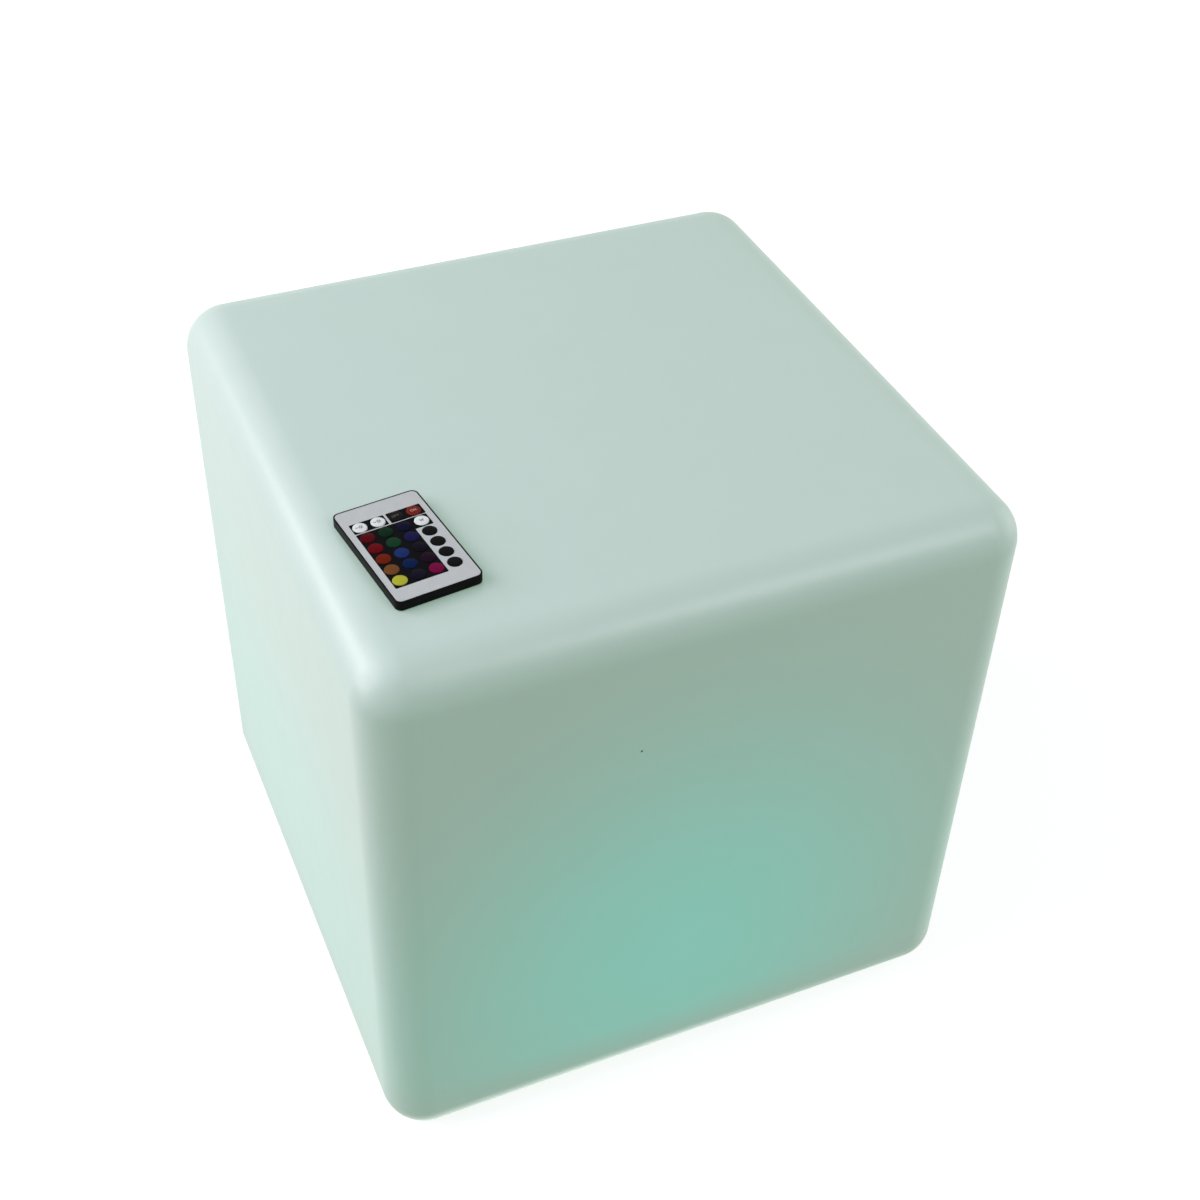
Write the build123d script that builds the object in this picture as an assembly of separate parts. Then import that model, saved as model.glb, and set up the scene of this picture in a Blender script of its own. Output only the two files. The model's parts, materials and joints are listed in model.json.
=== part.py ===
"""A rechargeable light cube with its remote control, in millimetres.

The origin is the centre of the cube's underside, +Z is up and the front face looks along -Y.
The cube is one hollow moulding. A sealed light unit is screwed up into a round recess in its
underside. The remote control lies on the top and is built at its own origin, the centre of its
underside, with its far end along its own +Y, and then laid in place.
"""
from build123d import *
import math
import os

os.makedirs("parts", exist_ok=True)

# ---------------------------------------------------------------- driving dimensions: clearances
SLIDE_GAP = 0.1          # between a sliding piece and its guide, each side
FIT_GAP = 0.05           # between a fixed piece and the hole it sits in, all round
UNIT_SCREW_GAP = 0.25    # round a unit screw's shank where it passes through
SMALL_SCREW_GAP = 0.1    # the same for a small screw
KEY_GAP = 0.15           # round each key in the face
POST_GAP = 0.5           # board post to cell cradle

# ---------------------------------------------------------------- driving dimensions: shell
CUBE_EDGE = 400.0        # outside edge length
EDGE_RADIUS = 28.0       # all twelve outside edges
SHELL_WALL = 4.0
RECESS_DEPTH = 28.0      # underside to the ledge that carries the light unit
LEDGE_WIDTH = 15.0       # opening to recess wall
MOUTH_RADIUS = 3.0       # rounding at the recess mouth, and the bevels of the cup inside
BOSS_RADIUS = 6.0
BOSS_HEIGHT = 12.0       # above the ledge
INSERT_RADIUS = 2.8
INSERT_LENGTH = 8.0

# ---------------------------------------------------------------- driving dimensions: fasteners
UNIT_SCREW_COUNT = 6
UNIT_SCREW_RADIUS = 2.0
UNIT_SCREW_LENGTH = 12.0
UNIT_HEAD_RADIUS = 3.8
UNIT_HEAD_HEIGHT = 2.4
SMALL_SCREW_RADIUS = 1.5
SMALL_SCREW_LENGTH = 8.0
SMALL_HEAD_RADIUS = 2.75
SMALL_HEAD_HEIGHT = 2.0
SOCKET_RECESS = 0.5      # depth of the driving hexagon as a share of the head

# ---------------------------------------------------------------- driving dimensions: light unit
SEAL_THICKNESS = 2.0
SEAL_MARGIN = 1.0        # seal edge to ledge edge
FLANGE_THICKNESS = 5.5
FLANGE_GAP = 1.0         # flange edge to recess wall
FLANGE_RADIUS = 2.0      # rounding of the flange's lower edge
TUB_WALL = 2.5
TUB_FLOOR = 3.0
TUB_GAP = 3.0            # tub to the shell's opening
TUB_CLEARANCE = 2.9      # control board corner to tub wall
BOSS_BITE = 0.8          # how far each diffuser boss runs into the tub's wall
COUNTERBORE_GAP = 0.6    # round the heads of the unit screws
POCKET_DEPTH = 1.0       # shallow panel that holds the switch and the socket
POCKET_MARGIN = 4.0      # round the bezels
LUG_WIDTH = 8.0
LUG_HEIGHT = 8.0
LUG_COUNT = 3
DOME_SCREW_COUNT = 6
DOME_BOSS_RADIUS = 3.2
DOME_BOSS_HEIGHT = 10.0
DOME_SEAL_WIDTH = 1.3
DOME_SEAL_HEIGHT = 1.1
DOME_SEAL_DEPTH = 0.8    # groove in the tub's rim
DOME_FLANGE = 2.5
DOME_WALL = 2.0
DOME_HEIGHT = 38.0

# ---------------------------------------------------------------- driving dimensions: cells
CELL_RADIUS = 9.2
CELL_LENGTH = 65.0
CELL_NUB_RADIUS = 3.0
CELL_NUB_HEIGHT = 1.2
CRADLE_GAP = 0.1         # round each cell
CRADLE_WALL = 1.5
STRAP_WIDTH = 14.0
STRAP_THICKNESS = 1.0
STRAP_FOOT = 9.0
STRAP_BOSS_HEIGHT = 4.0

# ---------------------------------------------------------------- driving dimensions: boards
BOARD_THICKNESS = 1.6
BOARD_CORNER = 4.0
BOARD_MARGIN = 6.0       # post centre to board edge
POST_RADIUS = 3.2
STRAP_TO_BOARD = 2.0
BOARD_GAP = 1.0          # LED board to bosses, diffuser to screw heads
PART_ROOM = 10.3         # over the control board
CAPACITOR_RADIUS = 3.0
CAPACITOR_HEIGHT = 8.0
COIL_RADIUS = 5.0
COIL_HEIGHT = 5.0
CHIP_SIZE = (8.0, 6.0, 1.8)
TRANSISTOR_COUNT = 3
TRANSISTOR_GAP = 3.0
TRANSISTOR_SIZE = (6.5, 6.0, 2.3)
PLUG_SIZE = (10.0, 5.0, 6.0)
LED_SIZE = 5.0
LED_HEIGHT = 1.6
LED_CHAMFER = 0.8
OUTER_LEDS = 16
INNER_LEDS = 8
RECEIVER_WIDTH = 5.6
RECEIVER_DEPTH = 4.0
RECEIVER_HEIGHT = 7.0
LEAD_RADIUS = 0.8
LEAD_PITCH = 3.2         # between neighbouring leads, and their step aside
LED_LEAD_COUNT = 4
BEND_SHARE = 0.45        # share of the shorter run that a bend may use

# ---------------------------------------------------------------- driving dimensions: panel parts
PANEL_PITCH = 36.0       # socket to switch
BARREL_RADIUS = 6.0
BARREL_LENGTH = 14.0     # behind the bezel
BEZEL_RADIUS = 8.0
BEZEL_THICKNESS = 1.5
NUT_RADIUS = 8.6         # across corners, halved
NUT_THICKNESS = 2.5
PANEL_CLEARANCE = 7.0    # nut to cell cradle
TERMINAL_LENGTH = 4.0
SOCKET_RADIUS = 2.85     # takes a 5.5 mm plug
SOCKET_LENGTH = 9.5
CENTRE_PIN_RADIUS = 1.05
CENTRE_PIN_SET_BACK = 1.0
CAP_RADIUS = 5.2
CAP_THICKNESS = 2.0
CAP_PLUG_GAP = 0.4       # lets the plug swing out of the socket
CAP_PLUG_LENGTH = 2.2
CAP_PLUG_HOLLOW = 1.7
HINGE_REACH = 11.0       # socket axis to hinge bar
HINGE_BAR_RADIUS = 0.8
HINGE_EYE_WALL = 0.9
HINGE_EYE_WIDTH = 5.0
HINGE_EAR_WIDTH = 1.3
TETHER_THICKNESS = 1.2
BUTTON_RADIUS = 4.2
BUTTON_STAND = 2.5       # out of the bezel
BUTTON_TRAVEL = 1.5
BUTTON_COLLAR = 0.7      # width and height of the collar that keeps the button in
BUTTON_CROWN = 0.6
LENS_RADIUS = 1.45
LENS_HEAD_RADIUS = 2.2
LENS_HEAD_THICKNESS = 0.6
LENS_LENGTH = 5.0

# ---------------------------------------------------------------- driving dimensions: remote
REMOTE_LENGTH = 84.0
REMOTE_WIDTH = 51.0
REMOTE_HEIGHT = 6.3
REMOTE_CORNER = 4.0
REMOTE_EDGE = 1.0        # rounding round the underside
REMOTE_X = -143.3        # centre of the remote on the cube's top
REMOTE_Y = -102.4
REMOTE_TURN = 7.1        # degrees, anticlockwise from above
RIM = 0.8                # black rim round the face
CASE_WALL = 1.6
CASE_FLOOR = 1.0
FACE_THICKNESS = 0.3
COVER_THICKNESS = 0.6
MAT_THICKNESS = 0.25
BOARD_LEDGE_WIDTH = 2.0
REMOTE_BOARD_THICKNESS = 0.8
REMOTE_BOARD_GAP = 0.9   # board edge to case wall
REMOTE_PART_SIZES = ((7.0, 3.0), (5.0, 3.5), (4.0, 3.0))

KEY_COLUMNS = 4
KEY_ROWS = 6
KEY_PITCH_X = 10.7
KEY_PITCH_Y = 10.0
KEY_FIELD_Y = -0.5       # centre of the key field from the remote's centre
KEY_RADIUS = 4.1
KEY_STAND = 0.6          # crown of the key over the face
KEY_SHOULDER = 0.3       # edge of the key over the face
KEY_TOP_RADIUS = 2.6     # flat middle of the crown
KEY_FLANGE_WIDTH = 0.6
KEY_FLANGE_THICKNESS = 0.3
KEY_TRAVEL = 0.35
KEY_TOP = 0.9
KEY_WALL = 1.1
DOME_FOOT_RADIUS = 2.4
DOME_TOP_RADIUS = 1.5

COIN_RADIUS = 10.0
COIN_THICKNESS = 2.5
COIN_RIM = 0.5           # step between the two halves of the cell's can
TRAY_FLOOR = 0.7
TRAY_SIDE = 1.4          # pocket to the tray's side
TRAY_END = 1.4           # pocket to the tray's outer end face
TRAY_LIP = 2.1           # pocket to the tray's inner end
TRAY_RIM = 0.1           # tray top over the cell
TRAY_TONGUE = 0.7
TRAY_TONGUE_LOW = 1.25
TRAY_TONGUE_HEIGHT = 0.9
RAIL_WIDTH = 1.6
CONTACT_THICKNESS = 0.2
CONTACT_WIDTH = 5.0
CONTACT_LENGTH = 16.0
THUMB_GROOVE = (10.0, 1.2, 0.4)

EMITTER_RADIUS = 1.5     # infra-red LED
EMITTER_LENGTH = 6.5
EMITTER_FLANGE = 0.4
EMITTER_Z = 3.2
EMITTER_LEAD_RADIUS = 0.2
EMITTER_LEAD_PITCH = 1.6
EMITTER_LEAD_LENGTH = 2.5

KEY_NAMES = (
    ("brighter", "dimmer", "off", "on"),
    ("red", "green", "blue", "white"),
    ("scarlet", "leaf_green", "royal_blue", "flash"),
    ("orange", "sky_blue", "indigo", "strobe"),
    ("amber", "sea_blue", "purple", "fade"),
    ("yellow", "teal", "pink", "smooth"),
)

# ---------------------------------------------------------------- levels and radii worked out
ledge_z = RECESS_DEPTH
flange_top = ledge_z - SEAL_THICKNESS
flange_bottom = flange_top - FLANGE_THICKNESS
tub_floor_z = flange_bottom + TUB_FLOOR
pocket_z = flange_bottom + POCKET_DEPTH

cradle_half_x = CELL_LENGTH / 2 + CRADLE_GAP + CRADLE_WALL
cell_y = CELL_RADIUS + CRADLE_GAP
cradle_half_y = 2 * cell_y + CRADLE_WALL
cell_z = tub_floor_z + CRADLE_WALL + CRADLE_GAP + CELL_RADIUS
strap_top = cell_z + CELL_RADIUS + CRADLE_GAP + STRAP_THICKNESS

post_x = cradle_half_x + POST_RADIUS / 2
post_y = cradle_half_y + POST_RADIUS + POST_GAP
board_half_x = post_x + BOARD_MARGIN
board_half_y = post_y + BOARD_MARGIN
board_z = strap_top + STRAP_TO_BOARD
board_top = board_z + BOARD_THICKNESS

tub_inner = math.hypot(board_half_x, board_half_y) + TUB_CLEARANCE
tub_radius = tub_inner + TUB_WALL
opening_radius = tub_radius + TUB_GAP
recess_radius = opening_radius + LEDGE_WIDTH
flange_radius = recess_radius - FLANGE_GAP
unit_screw_circle = opening_radius + LEDGE_WIDTH / 2

led_board_z = board_top + PART_ROOM
led_board_top = led_board_z + BOARD_THICKNESS
tub_top = led_board_top
dome_screw_circle = tub_inner - DOME_BOSS_RADIUS + BOSS_BITE
led_board_radius = dome_screw_circle - DOME_BOSS_RADIUS - BOARD_GAP
led_screw_circle = led_board_radius - 2 * SMALL_HEAD_RADIUS
outer_led_circle = led_screw_circle - SMALL_HEAD_RADIUS - LED_SIZE
inner_led_circle = outer_led_circle / 2
dome_seal_z = tub_top - DOME_SEAL_DEPTH
dome_base_z = dome_seal_z + DOME_SEAL_HEIGHT
dome_foot = dome_screw_circle - SMALL_HEAD_RADIUS - BOARD_GAP

counterbore_radius = UNIT_HEAD_RADIUS + COUNTERBORE_GAP
unit_head_top = flange_bottom + UNIT_HEAD_HEIGHT + COUNTERBORE_GAP

panel_y = -(cradle_half_y + PANEL_CLEARANCE + NUT_RADIUS)
socket_x = -PANEL_PITCH / 2
switch_x = PANEL_PITCH / 2
bezel_z = pocket_z - BEZEL_THICKNESS
hinge_x = socket_x - HINGE_REACH
hinge_eye_radius = HINGE_BAR_RADIUS + HINGE_EYE_WALL
hinge_z = bezel_z - FIT_GAP - TETHER_THICKNESS / 2
pocket_half_x = PANEL_PITCH / 2 + HINGE_REACH + BEZEL_RADIUS + FLANGE_GAP
pocket_half_y = BEZEL_RADIUS + POCKET_MARGIN

face_bottom = REMOTE_HEIGHT - FACE_THICKNESS
cover_bottom = face_bottom - COVER_THICKNESS
key_hole_radius = KEY_RADIUS + KEY_GAP
key_crown = REMOTE_HEIGHT + KEY_STAND
key_ceiling = key_crown - KEY_TOP
key_flange_top = cover_bottom - FIT_GAP
key_flange_bottom = key_flange_top - KEY_FLANGE_THICKNESS
mat_top = key_flange_bottom - KEY_TRAVEL - FIT_GAP
contact_dome_top = key_ceiling - KEY_TRAVEL - FIT_GAP
remote_board_top = mat_top - MAT_THICKNESS
board_ledge_z = remote_board_top - REMOTE_BOARD_THICKNESS
tray_pocket_radius = COIN_RADIUS + SLIDE_GAP
tray_half_width = tray_pocket_radius + TRAY_SIDE
tray_top = TRAY_FLOOR + COIN_THICKNESS + TRAY_RIM
tray_length = TRAY_END + 2 * tray_pocket_radius + TRAY_LIP
tray_inner_y = -REMOTE_LENGTH / 2 + tray_length
coin_y = -REMOTE_LENGTH / 2 + TRAY_END + tray_pocket_radius
emitter_base_y = REMOTE_LENGTH / 2 + EMITTER_RADIUS / 2 - EMITTER_LENGTH
board_end_y = emitter_base_y - SLIDE_GAP

FLOOR_ALIGN = (Align.CENTER, Align.CENTER, Align.MIN)


# ---------------------------------------------------------------- small helpers
def rod(radius, low, high, x=0.0, y=0.0):
    """An upright cylinder between two levels."""
    return Pos(x, y, low) * Cylinder(radius, high - low, align=FLOOR_ALIGN)


def ring(outer, inner, low, high, x=0.0, y=0.0):
    return rod(outer, low, high, x, y) - rod(inner, low, high, x, y)


def block(low, high):
    """A box given by its lowest and highest corners."""
    size = [b - a for a, b in zip(low, high)]
    return Pos(*low) * Box(*size, align=(Align.MIN, Align.MIN, Align.MIN))


def plate(width, length, corner, low, high, y=0.0):
    """An upright rounded-rectangle prism between two levels."""
    return Pos(0, y, low) * extrude(RectangleRounded(width, length, corner), high - low)


def polar(radius, count, start=0.0):
    """Places evenly round a circle, as (x, y, degrees)."""
    for i in range(count):
        turn = start + 360.0 * i / count
        yield radius * math.cos(math.radians(turn)), radius * math.sin(math.radians(turn)), turn


def dome_screw_places():
    """Midway between the directions of the unit screws."""
    return polar(dome_screw_circle, DOME_SCREW_COUNT, 180 / DOME_SCREW_COUNT)


def circles(part, radius, level):
    """The circular edges of one radius at one level."""
    def wanted(edge):
        return abs(edge.radius - radius) < 0.01 and abs(edge.arc_center.Z - level) < 0.01
    return part.edges().filter_by(GeomType.CIRCLE).filter_by(wanted)


def group(pieces):
    return Compound(children=[piece for piece in pieces])


def screw(shank_radius, length, head_radius, head_height):
    """A pan-head screw that points up, with the underside of its head at z = 0."""
    head = rod(head_radius, -head_height, 0)
    head = chamfer(circles(head, head_radius, -head_height), head_height / 3)
    drive = RegularPolygon(head_radius * SOCKET_RECESS, 6)
    head -= Pos(0, 0, -head_height) * extrude(drive, head_height * SOCKET_RECESS)
    return head + rod(shank_radius, 0, length)


def lead(points, radius):
    """A wire along straight runs joined by tangent arcs as large as the runs allow."""
    corners = []
    for before, here, after in zip(points, points[1:], points[2:]):
        run_in = Vector(*here) - Vector(*before)
        run_out = Vector(*after) - Vector(*here)
        turn = math.radians(run_in.get_angle(run_out))
        corners.append(BEND_SHARE * min(run_in.length, run_out.length) / math.tan(turn / 2))
    path = FilletPolyline(*points, radius=corners) if corners else Line(*points)
    section = Plane(origin=path @ 0, z_dir=path % 0) * Circle(radius)
    return sweep(section, path=path)


# ---------------------------------------------------------------- shell
def rounded_cube(edge, radius, low):
    cube = Pos(0, 0, low) * Box(edge, edge, edge, align=FLOOR_ALIGN)
    return fillet(cube.edges(), radius)


def cube_shell():
    """Hollow moulding whose floor turns up into a cup with a ledge and an opening."""
    inner_edge = CUBE_EDGE - 2 * SHELL_WALL
    shell = rounded_cube(CUBE_EDGE, EDGE_RADIUS, 0)
    shell -= rounded_cube(inner_edge, EDGE_RADIUS - SHELL_WALL, SHELL_WALL)
    cup_top = ledge_z + SHELL_WALL
    cup_radius = recess_radius + SHELL_WALL
    shell += rod(cup_radius, 0, cup_top)
    shell -= rod(recess_radius, 0, ledge_z)
    shell -= rod(opening_radius, ledge_z, cup_top)
    shell = chamfer(circles(shell, cup_radius, SHELL_WALL), MOUTH_RADIUS)
    shell = chamfer(circles(shell, cup_radius, cup_top), MOUTH_RADIUS)
    shell = fillet(circles(shell, recess_radius, 0), MOUTH_RADIUS)
    for x, y, _ in polar(unit_screw_circle, UNIT_SCREW_COUNT):
        shell += rod(BOSS_RADIUS, ledge_z + SHELL_WALL / 2, ledge_z + BOSS_HEIGHT, x, y)
        shell -= rod(INSERT_RADIUS, ledge_z, ledge_z + INSERT_LENGTH + SHELL_WALL / 2, x, y)
    return shell


def shell_inserts():
    bore = UNIT_SCREW_RADIUS + FIT_GAP
    top = ledge_z + INSERT_LENGTH
    places = polar(unit_screw_circle, UNIT_SCREW_COUNT)
    return group(ring(INSERT_RADIUS, bore, ledge_z, top, x, y) for x, y, _ in places)


def seal_ring():
    seal = ring(recess_radius - 2 * SEAL_MARGIN, opening_radius + SEAL_MARGIN, flange_top, ledge_z)
    for x, y, _ in polar(unit_screw_circle, UNIT_SCREW_COUNT):
        seal -= rod(UNIT_SCREW_RADIUS + UNIT_SCREW_GAP, flange_top, ledge_z, x, y)
    return seal


def unit_screws():
    one = screw(UNIT_SCREW_RADIUS, UNIT_SCREW_LENGTH, UNIT_HEAD_RADIUS, UNIT_HEAD_HEIGHT)
    places = polar(unit_screw_circle, UNIT_SCREW_COUNT)
    return group(Pos(x, y, unit_head_top) * one for x, y, _ in places)


# ---------------------------------------------------------------- light unit: base and diffuser
def hinge_bar():
    """Two ears with a bar between them, for the eye of the socket cap's tether."""
    half_gap = HINGE_EYE_WIDTH / 2 + 2 * SLIDE_GAP
    half_width = half_gap + HINGE_EAR_WIDTH
    ear = Pos(0, 0, hinge_z) * Rot(90, 0, 0) * Cylinder(hinge_eye_radius, 2 * half_width)
    ear += block((-hinge_eye_radius, -half_width, hinge_z), (hinge_eye_radius, half_width, pocket_z))
    reach = 2 * hinge_eye_radius
    ear -= block((-reach, -half_gap, hinge_z - reach), (reach, half_gap, pocket_z))
    ear += Pos(0, 0, hinge_z) * Rot(90, 0, 0) * Cylinder(HINGE_BAR_RADIUS, 2 * half_gap)
    return Pos(hinge_x, panel_y, 0) * ear


def unit_base():
    """Flanged tub: the flange closes the recess and the tub stands up through the opening."""
    base = rod(flange_radius, flange_bottom, flange_top)
    base = fillet(circles(base, flange_radius, flange_bottom), FLANGE_RADIUS)
    base += rod(tub_radius, flange_top, tub_top)
    base -= rod(tub_inner, tub_floor_z, tub_top)
    pocket_corner = pocket_half_y / 2
    base -= plate(2 * pocket_half_x, 2 * pocket_half_y, pocket_corner, flange_bottom, pocket_z, panel_y)
    for x, y, _ in polar(unit_screw_circle, UNIT_SCREW_COUNT):
        base -= rod(counterbore_radius, flange_bottom, unit_head_top, x, y)
        base -= rod(UNIT_SCREW_RADIUS + UNIT_SCREW_GAP, unit_head_top, flange_top, x, y)
    small_bore = SMALL_SCREW_RADIUS + FIT_GAP
    for x in (-post_x, post_x):
        for y in (-post_y, post_y):
            base += rod(POST_RADIUS, tub_floor_z, board_z, x, y)
            base -= rod(small_bore, board_z - SMALL_SCREW_LENGTH, board_z, x, y)
    strap_boss_top = tub_floor_z + STRAP_BOSS_HEIGHT
    for y in (-strap_screw_y(), strap_screw_y()):
        base += rod(POST_RADIUS, tub_floor_z, strap_boss_top, 0, y)
        base -= rod(small_bore, tub_floor_z, strap_boss_top, 0, y)
    for x, y, _ in dome_screw_places():
        base += rod(DOME_BOSS_RADIUS, tub_top - DOME_BOSS_HEIGHT, tub_top, x, y)
        base -= rod(small_bore, tub_top - SMALL_SCREW_LENGTH, tub_top, x, y)
    lug_inner = led_screw_circle - LUG_WIDTH / 2
    for _, _, turn in polar(led_screw_circle, LUG_COUNT):
        low = (lug_inner, -LUG_WIDTH / 2, led_board_z - LUG_HEIGHT)
        lug = block(low, (tub_inner + TUB_WALL / 2, LUG_WIDTH / 2, led_board_z))
        lug -= rod(small_bore, led_board_z - LUG_HEIGHT, led_board_z, led_screw_circle, 0)
        base += Rot(0, 0, turn) * lug
    base -= dome_groove(tub_top)
    for x in (socket_x, switch_x):
        base -= rod(BARREL_RADIUS + SLIDE_GAP, pocket_z, tub_floor_z, x, panel_y)
    base -= rod(LENS_RADIUS + FIT_GAP, pocket_z, tub_floor_z, 0, lens_y())
    return base + hinge_bar()


def dome_groove(top):
    middle = (tub_inner + tub_radius) / 2
    half = DOME_SEAL_WIDTH / 2
    return ring(middle + half, middle - half, dome_seal_z, top)


def dome_seal():
    return dome_groove(dome_base_z)


def light_dome():
    """Milky diffuser: a cap of a sphere on a screwed flange."""
    crown = dome_base_z + DOME_HEIGHT
    rise = DOME_HEIGHT - DOME_FLANGE
    radius = (dome_foot ** 2 + rise ** 2) / (2 * rise)
    centre = crown - radius
    above = block((-tub_radius, -tub_radius, dome_base_z), (tub_radius, tub_radius, crown + DOME_WALL))
    outside = Pos(0, 0, centre) * Sphere(radius) & above
    inside = Pos(0, 0, centre) * Sphere(radius - DOME_WALL) & above
    dome = rod(tub_radius, dome_base_z, dome_base_z + DOME_FLANGE) + outside - inside
    for x, y, _ in dome_screw_places():
        hole = SMALL_SCREW_RADIUS + SMALL_SCREW_GAP
        dome -= rod(hole, dome_base_z, dome_base_z + DOME_FLANGE, x, y)
    return dome


def down_screw(length):
    one = screw(SMALL_SCREW_RADIUS, length, SMALL_HEAD_RADIUS, SMALL_HEAD_HEIGHT)
    return Rot(180, 0, 0) * one


def dome_screws():
    seat = dome_base_z + DOME_FLANGE
    places = dome_screw_places()
    return group(Pos(x, y, seat) * down_screw(SMALL_SCREW_LENGTH) for x, y, _ in places)


# ---------------------------------------------------------------- light unit: boards
def led_board():
    board = rod(led_board_radius, led_board_z, led_board_top)
    for x, y, _ in polar(led_screw_circle, LUG_COUNT):
        board -= rod(SMALL_SCREW_RADIUS + SMALL_SCREW_GAP, led_board_z, led_board_top, x, y)
    return board


def leds():
    one = Box(LED_SIZE, LED_SIZE, LED_HEIGHT, align=FLOOR_ALIGN)
    one = chamfer(one.edges().filter_by(Axis.Z).sort_by(Axis.X)[-1:], LED_CHAMFER)
    rings = ((outer_led_circle, OUTER_LEDS), (inner_led_circle, INNER_LEDS))
    return group(
        Pos(x, y, led_board_top) * Rot(0, 0, turn) * one
        for radius, count in rings
        for x, y, turn in polar(radius, count, 180 / count)
    )


def ir_receiver():
    body = Pos(0, 0, led_board_top) * Box(
        RECEIVER_WIDTH, RECEIVER_DEPTH, RECEIVER_HEIGHT, align=FLOOR_ALIGN)
    lens_z = led_board_top + RECEIVER_HEIGHT - RECEIVER_WIDTH / 2
    lens = Pos(0, 0, lens_z) * Rot(90, 0, 0) * Cylinder(RECEIVER_WIDTH / 2, RECEIVER_DEPTH)
    top = block((-RECEIVER_WIDTH, -RECEIVER_WIDTH, lens_z),
                (RECEIVER_WIDTH, RECEIVER_WIDTH, lens_z + RECEIVER_WIDTH))
    return body - top + (lens & top)


def control_board():
    board = plate(2 * board_half_x, 2 * board_half_y, BOARD_CORNER, board_z, board_top)
    for x in (-post_x, post_x):
        for y in (-post_y, post_y):
            board -= rod(SMALL_SCREW_RADIUS + SMALL_SCREW_GAP, board_z, board_top, x, y)
    return board


def board_parts():
    """Parts that stand on the control board: coil, capacitors, driver, transistors, plugs."""
    def standing(size, x, y):
        return Pos(x, y, board_top) * Box(*size, align=FLOOR_ALIGN)
    parts = [rod(COIL_RADIUS, board_top, board_top + COIL_HEIGHT, -post_x / 2, 0)]
    for x in (post_x / 3, 2 * post_x / 3):
        parts.append(rod(CAPACITOR_RADIUS, board_top, board_top + CAPACITOR_HEIGHT, x, post_y / 2))
    parts.append(standing(CHIP_SIZE, 0, 0))
    for i in range(TRANSISTOR_COUNT):
        step = (i - (TRANSISTOR_COUNT - 1) / 2) * (TRANSISTOR_SIZE[0] + TRANSISTOR_GAP)
        parts.append(standing(TRANSISTOR_SIZE, step, -post_y / 2))
    parts.append(standing(PLUG_SIZE, -post_x / 2, board_half_y - PLUG_SIZE[1]))
    parts.append(standing(PLUG_SIZE, post_x / 2, board_half_y - PLUG_SIZE[1]))
    return group(parts)


def board_screws():
    """Four screws in the control board, three in the LED board and two in the cell strap."""
    screws = []
    for x in (-post_x, post_x):
        for y in (-post_y, post_y):
            screws.append(Pos(x, y, board_top) * down_screw(SMALL_SCREW_LENGTH))
    for x, y, _ in polar(led_screw_circle, LUG_COUNT):
        screws.append(Pos(x, y, led_board_top) * down_screw(SMALL_SCREW_LENGTH))
    seat = tub_floor_z + STRAP_BOSS_HEIGHT + STRAP_THICKNESS
    for y in (-strap_screw_y(), strap_screw_y()):
        screws.append(Pos(0, y, seat) * down_screw(STRAP_BOSS_HEIGHT))
    return group(screws)


# ---------------------------------------------------------------- light unit: cells
def strap_screw_y():
    return cradle_half_y + STRAP_THICKNESS + STRAP_FOOT / 2


def battery_cells():
    """Two cells side by side along X, turned opposite ways."""
    body = Rot(0, 90, 0) * Cylinder(CELL_RADIUS, CELL_LENGTH - CELL_NUB_HEIGHT)
    body = Pos(-CELL_NUB_HEIGHT / 2, 0, 0) * body
    nub_x = CELL_LENGTH / 2 - CELL_NUB_HEIGHT / 2
    one = body + Pos(nub_x, 0, 0) * Rot(0, 90, 0) * Cylinder(CELL_NUB_RADIUS, CELL_NUB_HEIGHT)
    front = Pos(0, -cell_y, cell_z) * one
    back = Pos(0, cell_y, cell_z) * Rot(0, 0, 180) * one
    return group([front, back])


def battery_cradle():
    cradle = block((-cradle_half_x, -cradle_half_y, tub_floor_z), (cradle_half_x, cradle_half_y, cell_z))
    groove = Rot(0, 90, 0) * Cylinder(CELL_RADIUS + CRADLE_GAP, CELL_LENGTH + 2 * CRADLE_GAP)
    for y in (-cell_y, cell_y):
        cradle -= Pos(0, y, cell_z) * groove
    return cradle


def battery_strap():
    """Thin band over both cells, down past the cradle, with a screwed foot each side."""
    pair = 2 * cell_y
    inner = 2 * (CELL_RADIUS + CRADLE_GAP)
    outer = inner + 2 * STRAP_THICKNESS
    foot_z = tub_floor_z + STRAP_BOSS_HEIGHT
    half = cradle_half_y + STRAP_THICKNESS
    drop = cell_z - foot_z
    arch = SlotCenterToCenter(pair, outer)
    arch += Pos(0, -drop / 2) * Rectangle(2 * half, drop)
    arch += Pos(0, STRAP_THICKNESS / 2) * Rectangle(2 * half, STRAP_THICKNESS)
    arch -= SlotCenterToCenter(pair, inner)
    arch -= Pos(0, -(drop + outer) / 2) * Rectangle(2 * cradle_half_y, drop + outer)
    foot_y = half + STRAP_FOOT / 2 - STRAP_THICKNESS / 2
    for side in (-1, 1):
        foot = Rectangle(STRAP_FOOT + STRAP_THICKNESS, STRAP_THICKNESS)
        arch += Pos(side * foot_y, STRAP_THICKNESS / 2 - drop) * foot
    below = Rectangle(4 * half, outer)
    arch -= Pos(0, -drop - outer / 2) * below
    strap = extrude(Plane.YZ * arch, STRAP_WIDTH / 2, both=True)
    strap = Pos(0, 0, cell_z) * strap
    for y in (-strap_screw_y(), strap_screw_y()):
        hole = SMALL_SCREW_RADIUS + SMALL_SCREW_GAP
        strap -= rod(hole, foot_z, foot_z + STRAP_THICKNESS, 0, y)
    return strap


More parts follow.
